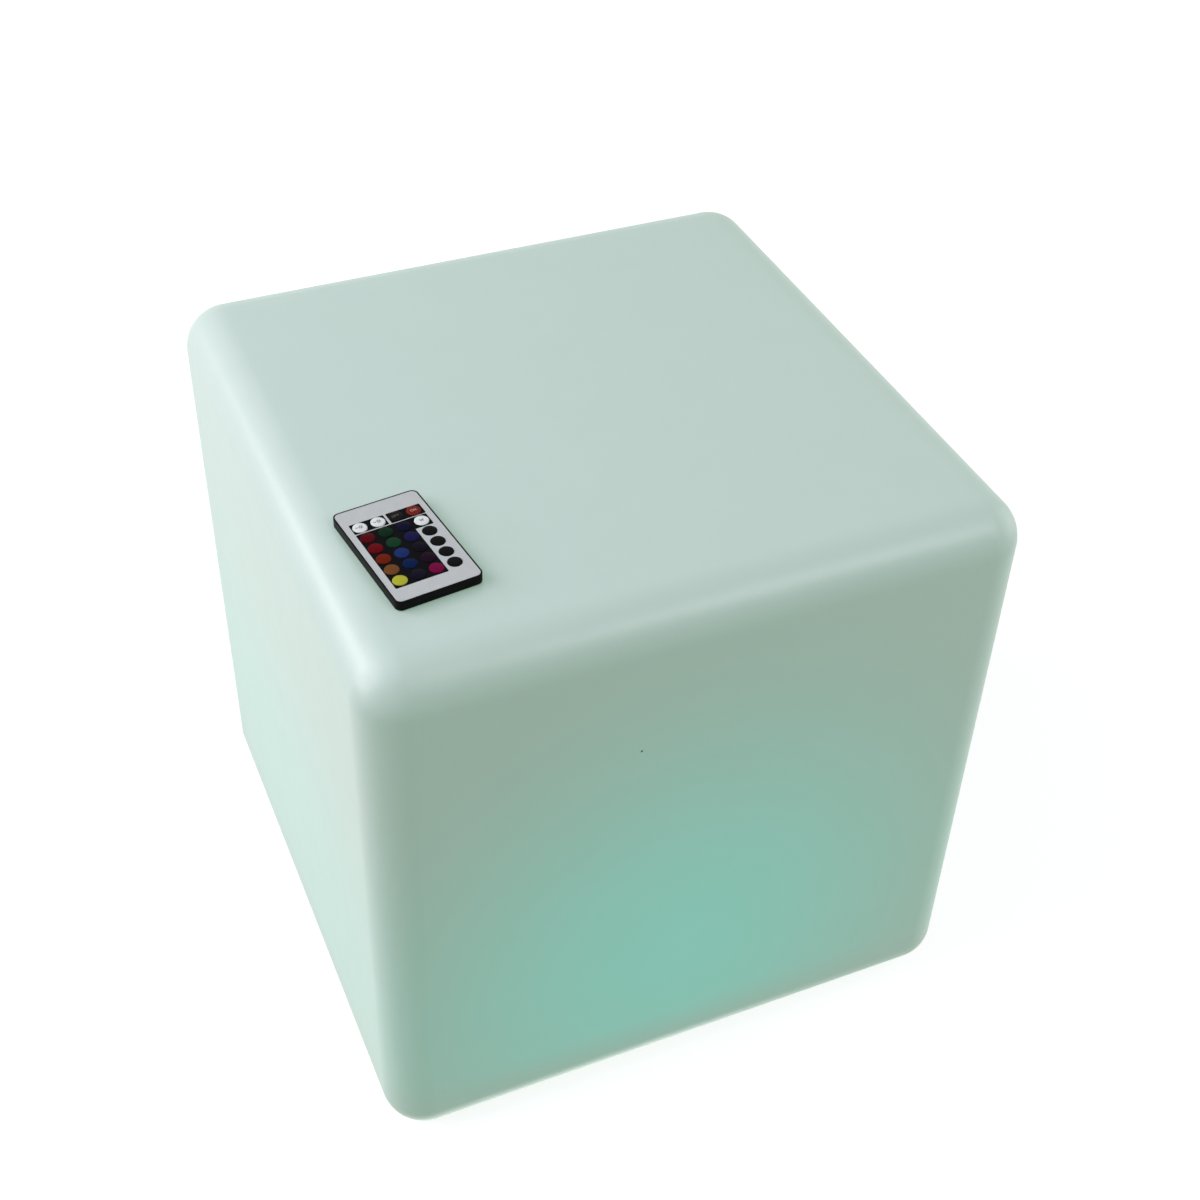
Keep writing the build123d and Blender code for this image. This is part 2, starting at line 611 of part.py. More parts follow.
# ---------------------------------------------------------------- light unit: leads
def battery_leads():
    """From the outer end of each cell, up and over to the underside of the control board."""
    leads = []
    for side in (-1, 1):
        end = side * CELL_LENGTH / 2
        out = side * (cradle_half_x + LEAD_PITCH)
        y = side * cell_y
        start_z = cell_z + CELL_RADIUS / 2
        route = [(end, y, start_z), (out, y, start_z), (out, y, board_z)]
        leads.append(lead(route, LEAD_RADIUS))
    return group(leads)


def panel_leads():
    """A pair from the socket and a pair from the switch to the control board's underside."""
    leads = []
    start_z = pocket_z + BARREL_LENGTH + TERMINAL_LENGTH
    middle_z = (start_z + board_z) / 2
    for x in (socket_x, switch_x):
        for side in (-1, 1):
            from_x = x + side * BARREL_RADIUS / 2
            to_y = -board_half_y + 2 * LEAD_RADIUS
            route = [(from_x, panel_y, start_z), (from_x, panel_y, middle_z),
                     (from_x, to_y, middle_z), (from_x, to_y, board_z)]
            leads.append(lead(route, LEAD_RADIUS))
    return group(leads)


def led_leads():
    """Leads up from the control board to the LED board, each stepped aside once."""
    leads = []
    for i in range(LED_LEAD_COUNT):
        x = -board_half_x + BOARD_MARGIN
        y = (i - (LED_LEAD_COUNT - 1) / 2) * LEAD_PITCH
        third = (led_board_z - board_top) / 3
        aside = x + LEAD_PITCH
        route = [(x, y, board_top), (x, y, board_top + third),
                 (aside, y, led_board_z - third), (aside, y, led_board_z)]
        leads.append(lead(route, LEAD_RADIUS))
    return group(leads)


# ---------------------------------------------------------------- light unit: panel parts
def panel_barrel(x):
    """Bezel and barrel of a part mounted through the floor of the pocket."""
    barrel = rod(BARREL_RADIUS, pocket_z, pocket_z + BARREL_LENGTH, x, panel_y)
    bezel = rod(BEZEL_RADIUS, bezel_z, pocket_z, x, panel_y)
    bezel = chamfer(circles(bezel, BEZEL_RADIUS, bezel_z), BEZEL_THICKNESS / 2)
    back = pocket_z + BARREL_LENGTH
    for side in (-1, 1):
        tag_x = x + side * BARREL_RADIUS / 2
        low = (tag_x - LEAD_RADIUS, panel_y - 2 * LEAD_RADIUS, back)
        high = (tag_x + LEAD_RADIUS, panel_y + 2 * LEAD_RADIUS, back + TERMINAL_LENGTH)
        barrel += block(low, high)
    return bezel + barrel


def panel_nuts():
    nuts = []
    for x in (socket_x, switch_x):
        nut = Pos(x, panel_y, tub_floor_z) * extrude(RegularPolygon(NUT_RADIUS, 6), NUT_THICKNESS)
        nuts.append(nut - rod(BARREL_RADIUS + FIT_GAP, tub_floor_z, tub_floor_z + NUT_THICKNESS, x, panel_y))
    return group(nuts)


def charge_socket():
    socket = panel_barrel(socket_x)
    floor = bezel_z + SOCKET_LENGTH
    socket -= rod(SOCKET_RADIUS, bezel_z, floor, socket_x, panel_y)
    return socket + rod(CENTRE_PIN_RADIUS, bezel_z + CENTRE_PIN_SET_BACK, floor, socket_x, panel_y)


def socket_cap():
    """Rubber cap: disc, hollow plug in the socket's mouth, tether and an eye on the hinge bar."""
    top = bezel_z - FIT_GAP
    cap = rod(CAP_RADIUS, top - CAP_THICKNESS, top, socket_x, panel_y)
    cap = chamfer(circles(cap, CAP_RADIUS, top - CAP_THICKNESS), CAP_THICKNESS / 3)
    half = HINGE_EYE_WIDTH / 2
    tether = block((hinge_x, panel_y - half, top - TETHER_THICKNESS),
                   (socket_x - CAP_RADIUS / 2, panel_y + half, top))
    eye = Rot(90, 0, 0) * Cylinder(hinge_eye_radius, HINGE_EYE_WIDTH)
    cap += tether + Pos(hinge_x, panel_y, hinge_z) * eye
    bore = Rot(90, 0, 0) * Cylinder(HINGE_BAR_RADIUS + FIT_GAP, 2 * HINGE_EYE_WIDTH)
    cap -= Pos(hinge_x, panel_y, hinge_z) * bore
    plug = ring(SOCKET_RADIUS - CAP_PLUG_GAP, CAP_PLUG_HOLLOW, top, top + CAP_PLUG_LENGTH, socket_x, panel_y)
    return cap + plug


def switch_body():
    """Push switch: a guide for the button and a wider chamber behind it for its collar."""
    body = panel_barrel(switch_x)
    guide_top = bezel_z + BEZEL_THICKNESS
    chamber_top = guide_top + BUTTON_COLLAR + BUTTON_TRAVEL + SLIDE_GAP
    body -= rod(BUTTON_RADIUS + SLIDE_GAP, bezel_z, guide_top, switch_x, panel_y)
    chamber_radius = BUTTON_RADIUS + BUTTON_COLLAR + SLIDE_GAP
    return body - rod(chamber_radius, guide_top, chamber_top, switch_x, panel_y)


def power_button():
    low = bezel_z - BUTTON_STAND
    collar_low = bezel_z + BEZEL_THICKNESS + FIT_GAP
    collar_top = collar_low + BUTTON_COLLAR
    button = rod(BUTTON_RADIUS, low, collar_top, switch_x, panel_y)
    button = fillet(circles(button, BUTTON_RADIUS, low), BUTTON_CROWN)
    collar_radius = BUTTON_RADIUS + BUTTON_COLLAR
    return button + rod(collar_radius, collar_low, collar_top, switch_x, panel_y)


def lens_y():
    return panel_y - POCKET_MARGIN


def charge_lens():
    head_low = pocket_z - LENS_HEAD_THICKNESS
    head = rod(LENS_HEAD_RADIUS, head_low, pocket_z, 0, lens_y())
    head = chamfer(circles(head, LENS_HEAD_RADIUS, head_low), LENS_HEAD_THICKNESS / 2)
    return head + rod(LENS_RADIUS, pocket_z, pocket_z + LENS_LENGTH, 0, lens_y())


# ---------------------------------------------------------------- remote: case and tray
def case_form():
    """Outer form that the case and the tray's end share."""
    form = plate(REMOTE_WIDTH, REMOTE_LENGTH, REMOTE_CORNER, 0, REMOTE_HEIGHT)
    return fillet(form.faces().sort_by(Axis.Z)[0].edges(), REMOTE_EDGE)


def inset_plate(inset, low, high):
    corner = REMOTE_CORNER - inset
    return plate(REMOTE_WIDTH - 2 * inset, REMOTE_LENGTH - 2 * inset, corner, low, high)


def tray_slot(gap):
    """Space of the tray with its tongues, grown by a gap all round."""
    end = -REMOTE_LENGTH / 2 - REMOTE_EDGE
    half = tray_half_width + gap
    slot = block((-half, end, -gap), (half, tray_inner_y + gap, tray_top + gap))
    low = TRAY_TONGUE_LOW - gap
    high = TRAY_TONGUE_LOW + TRAY_TONGUE_HEIGHT + gap
    wide = half + TRAY_TONGUE
    return slot + block((-wide, end, low), (wide, tray_inner_y + gap, high))


def remote_case():
    case = case_form()
    inner = inset_plate(CASE_WALL, CASE_FLOOR, cover_bottom)
    case -= inner
    case -= inset_plate(RIM, cover_bottom, REMOTE_HEIGHT)
    half_x = REMOTE_WIDTH / 2 - CASE_WALL
    half_y = REMOTE_LENGTH / 2 - REMOTE_CORNER
    ledge_x = half_x - BOARD_LEDGE_WIDTH
    for side in (-1, 1):
        xs = sorted((side * ledge_x, side * (half_x + FIT_GAP)))
        case += block((xs[0], -half_y, CASE_FLOOR), (xs[1], half_y, board_ledge_z))
        rail = sorted((side * tray_half_width, side * (tray_half_width + TRAY_TONGUE + RAIL_WIDTH)))
        rail_low = (rail[0], -REMOTE_LENGTH / 2 + CASE_WALL, CASE_FLOOR)
        case += block(rail_low, (rail[1], tray_inner_y, tray_top))
    case -= tray_slot(SLIDE_GAP)
    case -= emitter_hole()
    return case


def remote_tray():
    """Coin cell tray: slides out of the near end on two tongues."""
    tray = tray_slot(0) & case_form()
    tray -= rod(tray_pocket_radius, TRAY_FLOOR, tray_top, 0, coin_y)
    notch = CONTACT_WIDTH / 2 + TRAY_SIDE
    tray -= block((-notch, coin_y, TRAY_FLOOR), (notch, tray_inner_y, tray_top))
    width, depth, height = THUMB_GROOVE
    groove_y = -REMOTE_LENGTH / 2 + 2 * TRAY_END
    return tray - block((-width / 2, groove_y, 0), (width / 2, groove_y + depth, height))


def coin_cell():
    can = rod(COIN_RADIUS, TRAY_FLOOR, TRAY_FLOOR + COIN_THICKNESS - COIN_RIM, 0, coin_y)
    lid = rod(COIN_RADIUS - 2 * COIN_RIM, TRAY_FLOOR, TRAY_FLOOR + COIN_THICKNESS, 0, coin_y)
    return can + lid


def remote_contacts():
    """One leaf under the board over the cell, one bent down behind the cell's rim."""
    top = board_ledge_z
    half = CONTACT_WIDTH / 2
    leaf_low = (-half, coin_y - CONTACT_LENGTH / 2, top - CONTACT_THICKNESS)
    leaf = block(leaf_low, (half, coin_y + CONTACT_LENGTH / 2, top))
    rim_y = coin_y + tray_pocket_radius + SLIDE_GAP
    foot = block((-half, rim_y, top - CONTACT_THICKNESS), (half, rim_y + CONTACT_WIDTH, top))
    low = TRAY_FLOOR + COIN_RIM
    return group([leaf, foot + block((-half, rim_y, low), (half, rim_y + CONTACT_THICKNESS, top))])


# ---------------------------------------------------------------- remote: face and keys
def key_places():
    """Every key as (name, x, y) on the remote's face."""
    for row, names in enumerate(KEY_NAMES[:KEY_ROWS]):
        y = KEY_FIELD_Y + ((KEY_ROWS - 1) / 2 - row) * KEY_PITCH_Y
        for column, name in enumerate(names[:KEY_COLUMNS]):
            yield name, (column - (KEY_COLUMNS - 1) / 2) * KEY_PITCH_X, y


def holed_plate(low, high):
    sheet = RectangleRounded(
        REMOTE_WIDTH - 2 * (RIM + SLIDE_GAP), REMOTE_LENGTH - 2 * (RIM + SLIDE_GAP), REMOTE_CORNER - RIM)
    holes = [Pos(x, y) * Circle(key_hole_radius) for _, x, y in key_places()]
    return Pos(0, 0, low) * extrude(sheet - holes, high - low)


def remote_cover():
    return holed_plate(cover_bottom, face_bottom)


def remote_face():
    return holed_plate(face_bottom, REMOTE_HEIGHT)


def key_cap():
    """Hollow key with a low crown and a flange that keeps it under the cover."""
    flange = KEY_RADIUS + KEY_FLANGE_WIDTH
    shoulder = REMOTE_HEIGHT + KEY_SHOULDER
    cavity = KEY_RADIUS - KEY_WALL
    outline = Polyline(
        (0, key_ceiling), (cavity, key_ceiling), (cavity, key_flange_bottom),
        (flange, key_flange_bottom), (flange, key_flange_top), (KEY_RADIUS, key_flange_top),
        (KEY_RADIUS, shoulder), (KEY_TOP_RADIUS, key_crown), (0, key_crown), close=True)
    return revolve(Plane.XZ * make_face(outline), Axis.Z)


def remote_keypad():
    """Rubber mat with a contact dome under each key."""
    low_y = -REMOTE_LENGTH / 2 + CASE_WALL + REMOTE_BOARD_GAP
    half_x = REMOTE_WIDTH / 2 - CASE_WALL - REMOTE_BOARD_GAP
    mat = block((-half_x, low_y, remote_board_top), (half_x, board_end_y - REMOTE_BOARD_GAP, mat_top))
    rise = contact_dome_top - mat_top
    for _, x, y in key_places():
        mat += Pos(x, y, mat_top) * Cone(DOME_FOOT_RADIUS, DOME_TOP_RADIUS, rise, align=FLOOR_ALIGN)
    return mat


# ---------------------------------------------------------------- remote: board
def remote_board():
    low_y = -REMOTE_LENGTH / 2 + CASE_WALL + REMOTE_BOARD_GAP
    half_x = REMOTE_WIDTH / 2 - CASE_WALL - REMOTE_BOARD_GAP
    return block((-half_x, low_y, board_ledge_z), (half_x, board_end_y, remote_board_top))


def remote_parts():
    """Chip blob, resonator, capacitor and transistor under the board."""
    top = board_ledge_z
    low = (CASE_FLOOR + top) / 2
    blob = Pos(-KEY_PITCH_X, KEY_PITCH_Y, low) * Cone(
        KEY_RADIUS, KEY_RADIUS + RIM, top - low, align=FLOOR_ALIGN)
    parts = [blob]
    for column, (width, length) in enumerate(REMOTE_PART_SIZES):
        x = column * KEY_PITCH_X - KEY_PITCH_X / 2
        y = 2 * KEY_PITCH_Y
        parts.append(block((x, y, low), (x + width, y + length, top)))
    return group(parts)


def emitter_hole():
    along = Pos(0, REMOTE_LENGTH / 2, EMITTER_Z) * Rot(90, 0, 0)
    return along * Cylinder(EMITTER_RADIUS + FIT_GAP, 3 * CASE_WALL)


def remote_emitter():
    """Infra-red LED: lens through the far wall, flange, and two leads on to the board."""
    tip_y = emitter_base_y + EMITTER_LENGTH - EMITTER_RADIUS
    middle = Pos(0, (emitter_base_y + tip_y) / 2, EMITTER_Z) * Rot(90, 0, 0)
    emitter = middle * Cylinder(EMITTER_RADIUS, tip_y - emitter_base_y)
    emitter += Pos(0, tip_y, EMITTER_Z) * Sphere(EMITTER_RADIUS)
    flange_y = emitter_base_y + EMITTER_FLANGE
    flange = Pos(0, flange_y, EMITTER_Z) * Rot(90, 0, 0)
    emitter += flange * Cylinder(EMITTER_RADIUS + EMITTER_FLANGE, 2 * EMITTER_FLANGE)
    for side in (-1, 1):
        lead_z = board_ledge_z - EMITTER_LEAD_RADIUS
        start = Pos(side * EMITTER_LEAD_PITCH / 2, emitter_base_y - EMITTER_LEAD_LENGTH / 2, lead_z)
        emitter += start * Rot(90, 0, 0) * Cylinder(EMITTER_LEAD_RADIUS, EMITTER_LEAD_LENGTH + FIT_GAP)
    return emitter


# ---------------------------------------------------------------- write every sub-part
def main():
    nodes = {
        "cube_shell": cube_shell(),
        "shell_inserts": shell_inserts(),
        "seal_ring": seal_ring(),
        "unit_base": unit_base(),
        "unit_screws": unit_screws(),
        "light_dome": light_dome(),
        "dome_seal": dome_seal(),
        "dome_screws": dome_screws(),
        "led_board": led_board(),
        "leds": leds(),
        "ir_receiver": ir_receiver(),
        "control_board": control_board(),
        "board_parts": board_parts(),
        "board_screws": board_screws(),
        "battery_cells": battery_cells(),
        "battery_cradle": battery_cradle(),
        "battery_strap": battery_strap(),
        "battery_leads": battery_leads(),
        "panel_leads": panel_leads(),
        "led_leads": led_leads(),
        "charge_socket": charge_socket(),
        "socket_cap": socket_cap(),
        "switch_body": switch_body(),
        "power_button": power_button(),
        "panel_nuts": panel_nuts(),
        "charge_lens": charge_lens(),
    }
    remote = {
        "remote_case": remote_case(),
        "remote_cover": remote_cover(),
        "remote_face": remote_face(),
        "remote_keypad": remote_keypad(),
        "remote_board": remote_board(),
        "remote_parts": remote_parts(),
        "remote_emitter": remote_emitter(),
        "remote_contacts": remote_contacts(),
        "remote_tray": remote_tray(),
        "coin_cell": coin_cell(),
    }
    cap = key_cap()
    for name, x, y in key_places():
        remote["key_" + name] = Pos(x, y, 0) * cap
    on_top = Pos(REMOTE_X, REMOTE_Y, CUBE_EDGE) * Rot(0, 0, REMOTE_TURN)
    for name, piece in remote.items():
        nodes[name] = on_top * piece
    for name, piece in nodes.items():
        export_step(piece, f"parts/{name}.step")
    print(len(nodes), "sub-parts; tub radius", round(tub_radius, 2), "recess radius", round(recess_radius, 2))


main()
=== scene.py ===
# %% [markdown]
# # A moulded cube light with its remote control
# The light is a hollow, rounded cube of milky plastic that stands on its flat underside and
# glows softly from within. A slim remote control lies on its top. Every part already exists at
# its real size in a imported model, so this lesson dresses that model: it gives each surface its
# finish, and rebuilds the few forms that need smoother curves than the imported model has.
# Everything is in metres, with +Z up, the cube's underside at z = 0 and its front towards -Y.

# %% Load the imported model
import bmesh
import bpy
import json
import math
from mathutils import Matrix, Vector


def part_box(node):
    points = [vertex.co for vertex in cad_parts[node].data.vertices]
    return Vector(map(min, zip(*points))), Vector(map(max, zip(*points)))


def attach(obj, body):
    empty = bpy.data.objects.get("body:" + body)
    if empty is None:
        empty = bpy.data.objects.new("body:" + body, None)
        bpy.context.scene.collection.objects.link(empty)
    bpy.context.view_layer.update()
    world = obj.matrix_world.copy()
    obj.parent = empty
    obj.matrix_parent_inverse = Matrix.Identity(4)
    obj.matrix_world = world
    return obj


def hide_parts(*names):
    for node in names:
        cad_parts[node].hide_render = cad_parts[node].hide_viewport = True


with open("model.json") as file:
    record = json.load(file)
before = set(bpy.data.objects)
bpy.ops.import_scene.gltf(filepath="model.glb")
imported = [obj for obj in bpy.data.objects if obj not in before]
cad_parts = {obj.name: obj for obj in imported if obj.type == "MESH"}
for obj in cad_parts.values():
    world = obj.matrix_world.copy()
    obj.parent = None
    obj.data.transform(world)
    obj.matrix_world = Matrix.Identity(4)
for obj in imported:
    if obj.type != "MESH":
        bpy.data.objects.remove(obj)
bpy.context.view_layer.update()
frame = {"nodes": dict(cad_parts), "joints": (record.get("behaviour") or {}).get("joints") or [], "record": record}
nodes = frame["nodes"]
body_of_node = {node: body for body, held in frame["record"]["behaviour"]["bodies"].items()
                for node in held}

# %% [markdown]
# ## The sizes that the rest is worked out from
# A lesson is easier to trust when its numbers come from one place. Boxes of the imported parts
# give the cube's edge, the round recess in its underside and the remote's place. Only sizes that
# no box can show, such as a rounding, are written down here.

# %% Measure the frame
MM = 0.001
EDGE_RADIUS = 28 * MM
WALL = 4 * MM
MOUTH_ROUND = 3 * MM
FLANGE_GAP = 1 * MM
TUB_GAP = 3 * MM

cube_low, cube_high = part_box("cube_shell")
EDGE = cube_high.x - cube_low.x
recess_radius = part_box("unit_base")[1].x + FLANGE_GAP
opening_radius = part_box("light_dome")[1].x + TUB_GAP
ledge_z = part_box("seal_ring")[1].z

remote_low, remote_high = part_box("remote_case")
remote_centre = (remote_low + remote_high) / 2
slide = next(joint for joint in frame["joints"] if joint["name"] == "tray_slide")
remote_turn = math.atan2(slide["axis"][0], -slide["axis"][1])
print("edge", round(EDGE, 3), "recess radius", round(recess_radius, 4),
      "remote turned", round(math.degrees(remote_turn), 1), "degrees")

# %% [markdown]
# ## The camera
# The view is from above and from the front-left corner, with a slight roll, as a hand-held
# camera has. It is easiest to keep as angles round a point inside the cube: azimuth, elevation,
# distance and roll. The camera's axes are then built from those angles and written straight into
# its matrix, which avoids Euler angles that are hard to read back.

# %% Place the camera
VIEW_AZIMUTH = math.radians(-24.61)
VIEW_ELEVATION = math.radians(40.86)
VIEW_ROLL = math.radians(2.04)
VIEW_DISTANCE = 1.1861
VIEW_TARGET = Vector((0.0156, -0.0070, 0.2394))
LENS = 53.79


def camera_matrix():
    back = Vector((math.sin(VIEW_AZIMUTH) * math.cos(VIEW_ELEVATION),
                   -math.cos(VIEW_AZIMUTH) * math.cos(VIEW_ELEVATION), math.sin(VIEW_ELEVATION)))
    level = Vector((0, 0, 1)).cross(back).normalized()
    upward = back.cross(level)
    right = level * math.cos(VIEW_ROLL) + upward * math.sin(VIEW_ROLL)
    up = upward * math.cos(VIEW_ROLL) - level * math.sin(VIEW_ROLL)
    turned = Matrix((right, up, back)).transposed().to_4x4()
    return Matrix.Translation(VIEW_TARGET + back * VIEW_DISTANCE) @ turned


camera_data = bpy.data.cameras.new("camera")
camera_data.lens = LENS
camera = bpy.data.objects.new("camera", camera_data)
camera.matrix_world = camera_matrix()
bpy.context.scene.collection.objects.link(camera)
bpy.context.scene.camera = camera
print("camera at", [round(v, 3) for v in camera.matrix_world.translation])

# %% [markdown]
# ## Arithmetic on sockets
# Shader graphs and geometry graphs are both made of nodes and sockets, and a formula such as
# 1 - mask takes a node for every sign. A small class that wraps one socket lets the formula be
# written as Python: each operator adds its Math node. Every other node comes from one method,
# which sets the node's settings first and then its sockets, by value or by link.

# %% One class for both kinds of graph
MEASURES = ("LENGTH", "DISTANCE", "DOT_PRODUCT")


class Wire:
    """An output socket of a node tree. Arithmetic on wires adds Math nodes to the tree."""

    def __init__(self, tree, socket=None):
        self.tree = tree
        self.socket = socket

    def node(self, kind, settings=(), inputs=(), output=0):
        """Adds a node: its settings first, then a value or a link for each socket named."""
        made = self.tree.nodes.new(kind)
        for name, value in dict(settings).items():
            setattr(made, name, value)
        for name, value in dict(inputs).items():
            plug(self.tree, made.inputs[name], value)
        return Wire(self.tree, made.outputs[output])

    def other(self, output):
        """Another output of the node that this wire comes from."""
        return Wire(self.tree, self.socket.node.outputs[output])

    def math(self, operation, *values):
        """A Math node on this wire and the values after it."""
        return self.node("ShaderNodeMath", {"operation": operation}, enumerate((self, *values)))

    def vector(self, operation, *values):
        """A Vector Math node: it gives a vector, or a number where it measures one."""
        return self.node("ShaderNodeVectorMath", {"operation": operation},
                         enumerate((self, *values)), "Value" if operation in MEASURES else "Vector")

    def part(self, axis=0):
        """One coordinate of a vector. The others are further outputs of its node."""
        return self.node("ShaderNodeSeparateXYZ", {}, {0: self}, axis)

    def __add__(self, value):
        return self.math("ADD", value)

    def __sub__(self, value):
        return self.math("SUBTRACT", value)

    def __rsub__(self, value):
        return self.node("ShaderNodeMath", {"operation": "SUBTRACT"}, {0: value, 1: self})

    def __mul__(self, value):
        return self.math("MULTIPLY", value)

    def __truediv__(self, value):
        return self.math("DIVIDE", value)

    def __rtruediv__(self, value):
        return self.node("ShaderNodeMath", {"operation": "DIVIDE"}, {0: value, 1: self})

    def __pow__(self, value):
        return self.math("POWER", value)

    def __abs__(self):
        return self.math("ABSOLUTE")

    def least(self, value):
        return self.math("MINIMUM", value)

    def most(self, value):
        return self.math("MAXIMUM", value)

    __radd__ = __add__
    __rmul__ = __mul__


def plug(tree, socket, value):
    """Links a wire to a socket, or writes a plain value into it."""
    if isinstance(value, Wire):
        tree.links.new(value.socket, socket)
    elif isinstance(value, tuple) and len(socket.default_value) > len(value):
        socket.default_value = (*value, 1)
    else:
        socket.default_value = value


trial = bpy.data.node_groups.new("trial", "ShaderNodeTree")
1 - 2 * Wire(trial).node("ShaderNodeValue")
print("1 - 2 * mask is", len(trial.nodes), "nodes")
bpy.data.node_groups.remove(trial)

# %% [markdown]
# ## Formulas that come up often
# A mask has to stay between 0 and 1, a glow fades with soft ends, and colours are mixed by a
# mask. Each is a one-line helper. Colours go through a Mix node, because a Math node would turn
# them grey, and vectors are put together from three numbers or wires.

# %% Clamp, ease, mix and point
def clamp(value):
    return value.most(0).least(1)


def eased(value):
    """Goes from 0 to 1 with soft ends."""
    share = clamp(value)
    return share * share * (3 - 2 * share)


def mix(factor, first, second):
    """A colour that goes from first to second."""
    return factor.node("ShaderNodeMix", {"data_type": "RGBA"}, {0: factor, 6: first, 7: second}, 2)


def point(start, x=0.0, y=0.0, z=0.0):
    """A vector from three coordinates, each a number or a wire."""
    return start.node("ShaderNodeCombineXYZ", {}, {0: x, 1: y, 2: z})


print("halfway through a fade, 3 - 2 * share is", 3 - 2 * 0.5)

# %% [markdown]
# ## A plain studio
# The object stands on a pale floor in front of white. A floor that is lit to pure white would
# need far too much light on the object as well, so the white is added only for camera rays, and
# the world adds it too for what glossy and clear surfaces mirror, by the Light Path node. Near
# the object the floor keeps a little of its own shading, so the shadow stays, and with distance
# it is lifted to full white, so that no horizon shows. From below the floor is see-through, so
# that the underside can be looked at.

# %% The floor's material
FLOOR_SIZE = 12.0
FLOOR_ALBEDO = 0.55
FLOOR_LIFT = 0.72
FLOOR_FAR_LIFT = 1.0
FADE_FROM = 0.35
FADE_TO = 1.6


def cleared(holder):
    """The first wire of the empty node tree of a new material or world."""
    holder.use_nodes = True
    holder.node_tree.nodes.clear()
    return Wire(holder.node_tree)


def ended(kind, factor, first, second):
    """Mixes two shaders by a factor, and links the result to a new output node."""
    shader = factor.node("ShaderNodeMixShader", {}, {0: factor, 1: first, 2: second})
    shader.tree.links.new(shader.socket, shader.tree.nodes.new(kind).inputs["Surface"])


def floor_material():
    made = bpy.data.materials.new("floor")
    start = cleared(made)
    seen = start.node("ShaderNodeLightPath")
    below = start.node("ShaderNodeNewGeometry").other("Backfacing")
    paint = start.node("ShaderNodeBsdfDiffuse", {}, {"Color": (FLOOR_ALBEDO,) * 3})
    away = start.node("ShaderNodeTexCoord").other("Object").vector("LENGTH")
    outer = eased((away - FADE_FROM) / (FADE_TO - FADE_FROM))
    lift = outer * (FLOOR_FAR_LIFT - FLOOR_LIFT) + FLOOR_LIFT
    glow = start.node("ShaderNodeEmission", {}, {"Strength": seen * lift})
    top = start.node("ShaderNodeAddShader", {}, {0: paint, 1: glow})
    clear = start.node("ShaderNodeBsdfTransparent")
    ended("ShaderNodeOutputMaterial", seen * (1 - below), clear, top)
    return made


# %% The world's light
AMBIENT = (0.190, 0.191, 0.193)
AMBIENT_BELOW = 0.60
HORIZON_STEEPNESS = 4


def studio_world():
    world = bpy.data.worlds.new("studio")
    start = cleared(world)
    path = start.node("ShaderNodeLightPath")
    direct = path.most(path.other("Is Glossy Ray")).most(path.other("Is Transmission Ray"))
    height = start.node("ShaderNodeTexCoord").other("Generated").part(2)
    level = clamp(height * HORIZON_STEEPNESS + 0.5) * (1 - AMBIENT_BELOW) + AMBIENT_BELOW
    white = start.node("ShaderNodeBackground", {}, {"Color": (1, 1, 1)})
    soft = start.node("ShaderNodeBackground", {}, {"Color": AMBIENT, "Strength": level})
    ended("ShaderNodeOutputWorld", direct, soft, white)
    return world


bpy.context.scene.world = studio_world()
bpy.context.scene.view_settings.view_transform = "Standard"
print("light from below is", AMBIENT_BELOW, "of the light from above")


# %% Lay the floor
def mesh_object(name, vertices, edges, faces):
    mesh = bpy.data.meshes.new(name)
    mesh.from_pydata(vertices, edges, faces)
    made = bpy.data.objects.new(name, mesh)
    bpy.context.scene.collection.objects.link(made)
    return made


half_floor = FLOOR_SIZE / 2
corners = [(x * half_floor, y * half_floor, 0) for x, y in ((-1, -1), (1, -1), (1, 1), (-1, 1))]
floor = mesh_object("floor", corners, [], [(0, 1, 2, 3)])
floor.data.materials.append(floor_material())
print("floor", FLOOR_SIZE, "m square")

# %% [markdown]
# ## The lamps
# Soft daylight falls from a large window to the left: that side is the brightest, the top is lit
# across, and the front is in its own soft shade, so the glow inside shows there. Six area lamps
# give that. The window does most, and a small one further back draws the bright line along the
# top's left edge. A weak, slightly cool ceiling fills the top. One high at the front right and a
# weak one on the right open up the front and its edges, and one below stands for light that a
# pale table sends up. A single lamp could match one face only, which is why there are several,
# and all are wide, so that no hard shadow falls.

# %% Hang the lamps
LAMPS = {
    "window": {"place": (-1.38, 0.35, 0.98), "size": 1.4, "power": 19.4, "colour": (0.99, 0.98, 1.01)},
    "edge": {"place": (-1.2, 1.0, 0.85), "size": 0.45, "power": 2.8, "colour": (1.0, 1.0, 1.02)},
    "ceiling": {"place": (-0.5, -0.2, 1.8), "size": 1.5, "power": 4.8, "colour": (0.95, 0.99, 1.12)},
    "corner": {"place": (0.85, -1.35, 1.7), "size": 0.9, "power": 8.8, "colour": (0.98, 1.0, 1.06)},
    "right": {"place": (1.5, -0.25, 0.6), "size": 1.0, "power": 3.8, "colour": (1.0, 1.0, 1.0)},
    "below": {"place": (0.05, -0.1, -1.2), "size": 0.8, "power": 2.2, "colour": (1.0, 1.0, 1.0)},
}
LAMP_AIM = Vector((0, 0, 0.20))

for name, lamp in LAMPS.items():
    data = bpy.data.lights.new(name, "AREA")
    data.size = lamp["size"]
    data.energy = lamp["power"]
    data.color = lamp["colour"]
    made = bpy.data.objects.new(name, data)
    made.location = lamp["place"]
    made.rotation_euler = (LAMP_AIM - made.location).to_track_quat("-Z", "Y").to_euler()
    made.visible_camera = False
    bpy.context.scene.collection.objects.link(made)
print(len(LAMPS), "lamps:", ", ".join(LAMPS))

# %% [markdown]
# ## Finishes: the shared parts
# Every finish here needs the same few things: where a point lies on the object, a noise at some
# size in millimetres, and a bump from a height. A paint function gets the graph and returns what
# goes into the Principled shader's sockets, so each material is one short function.

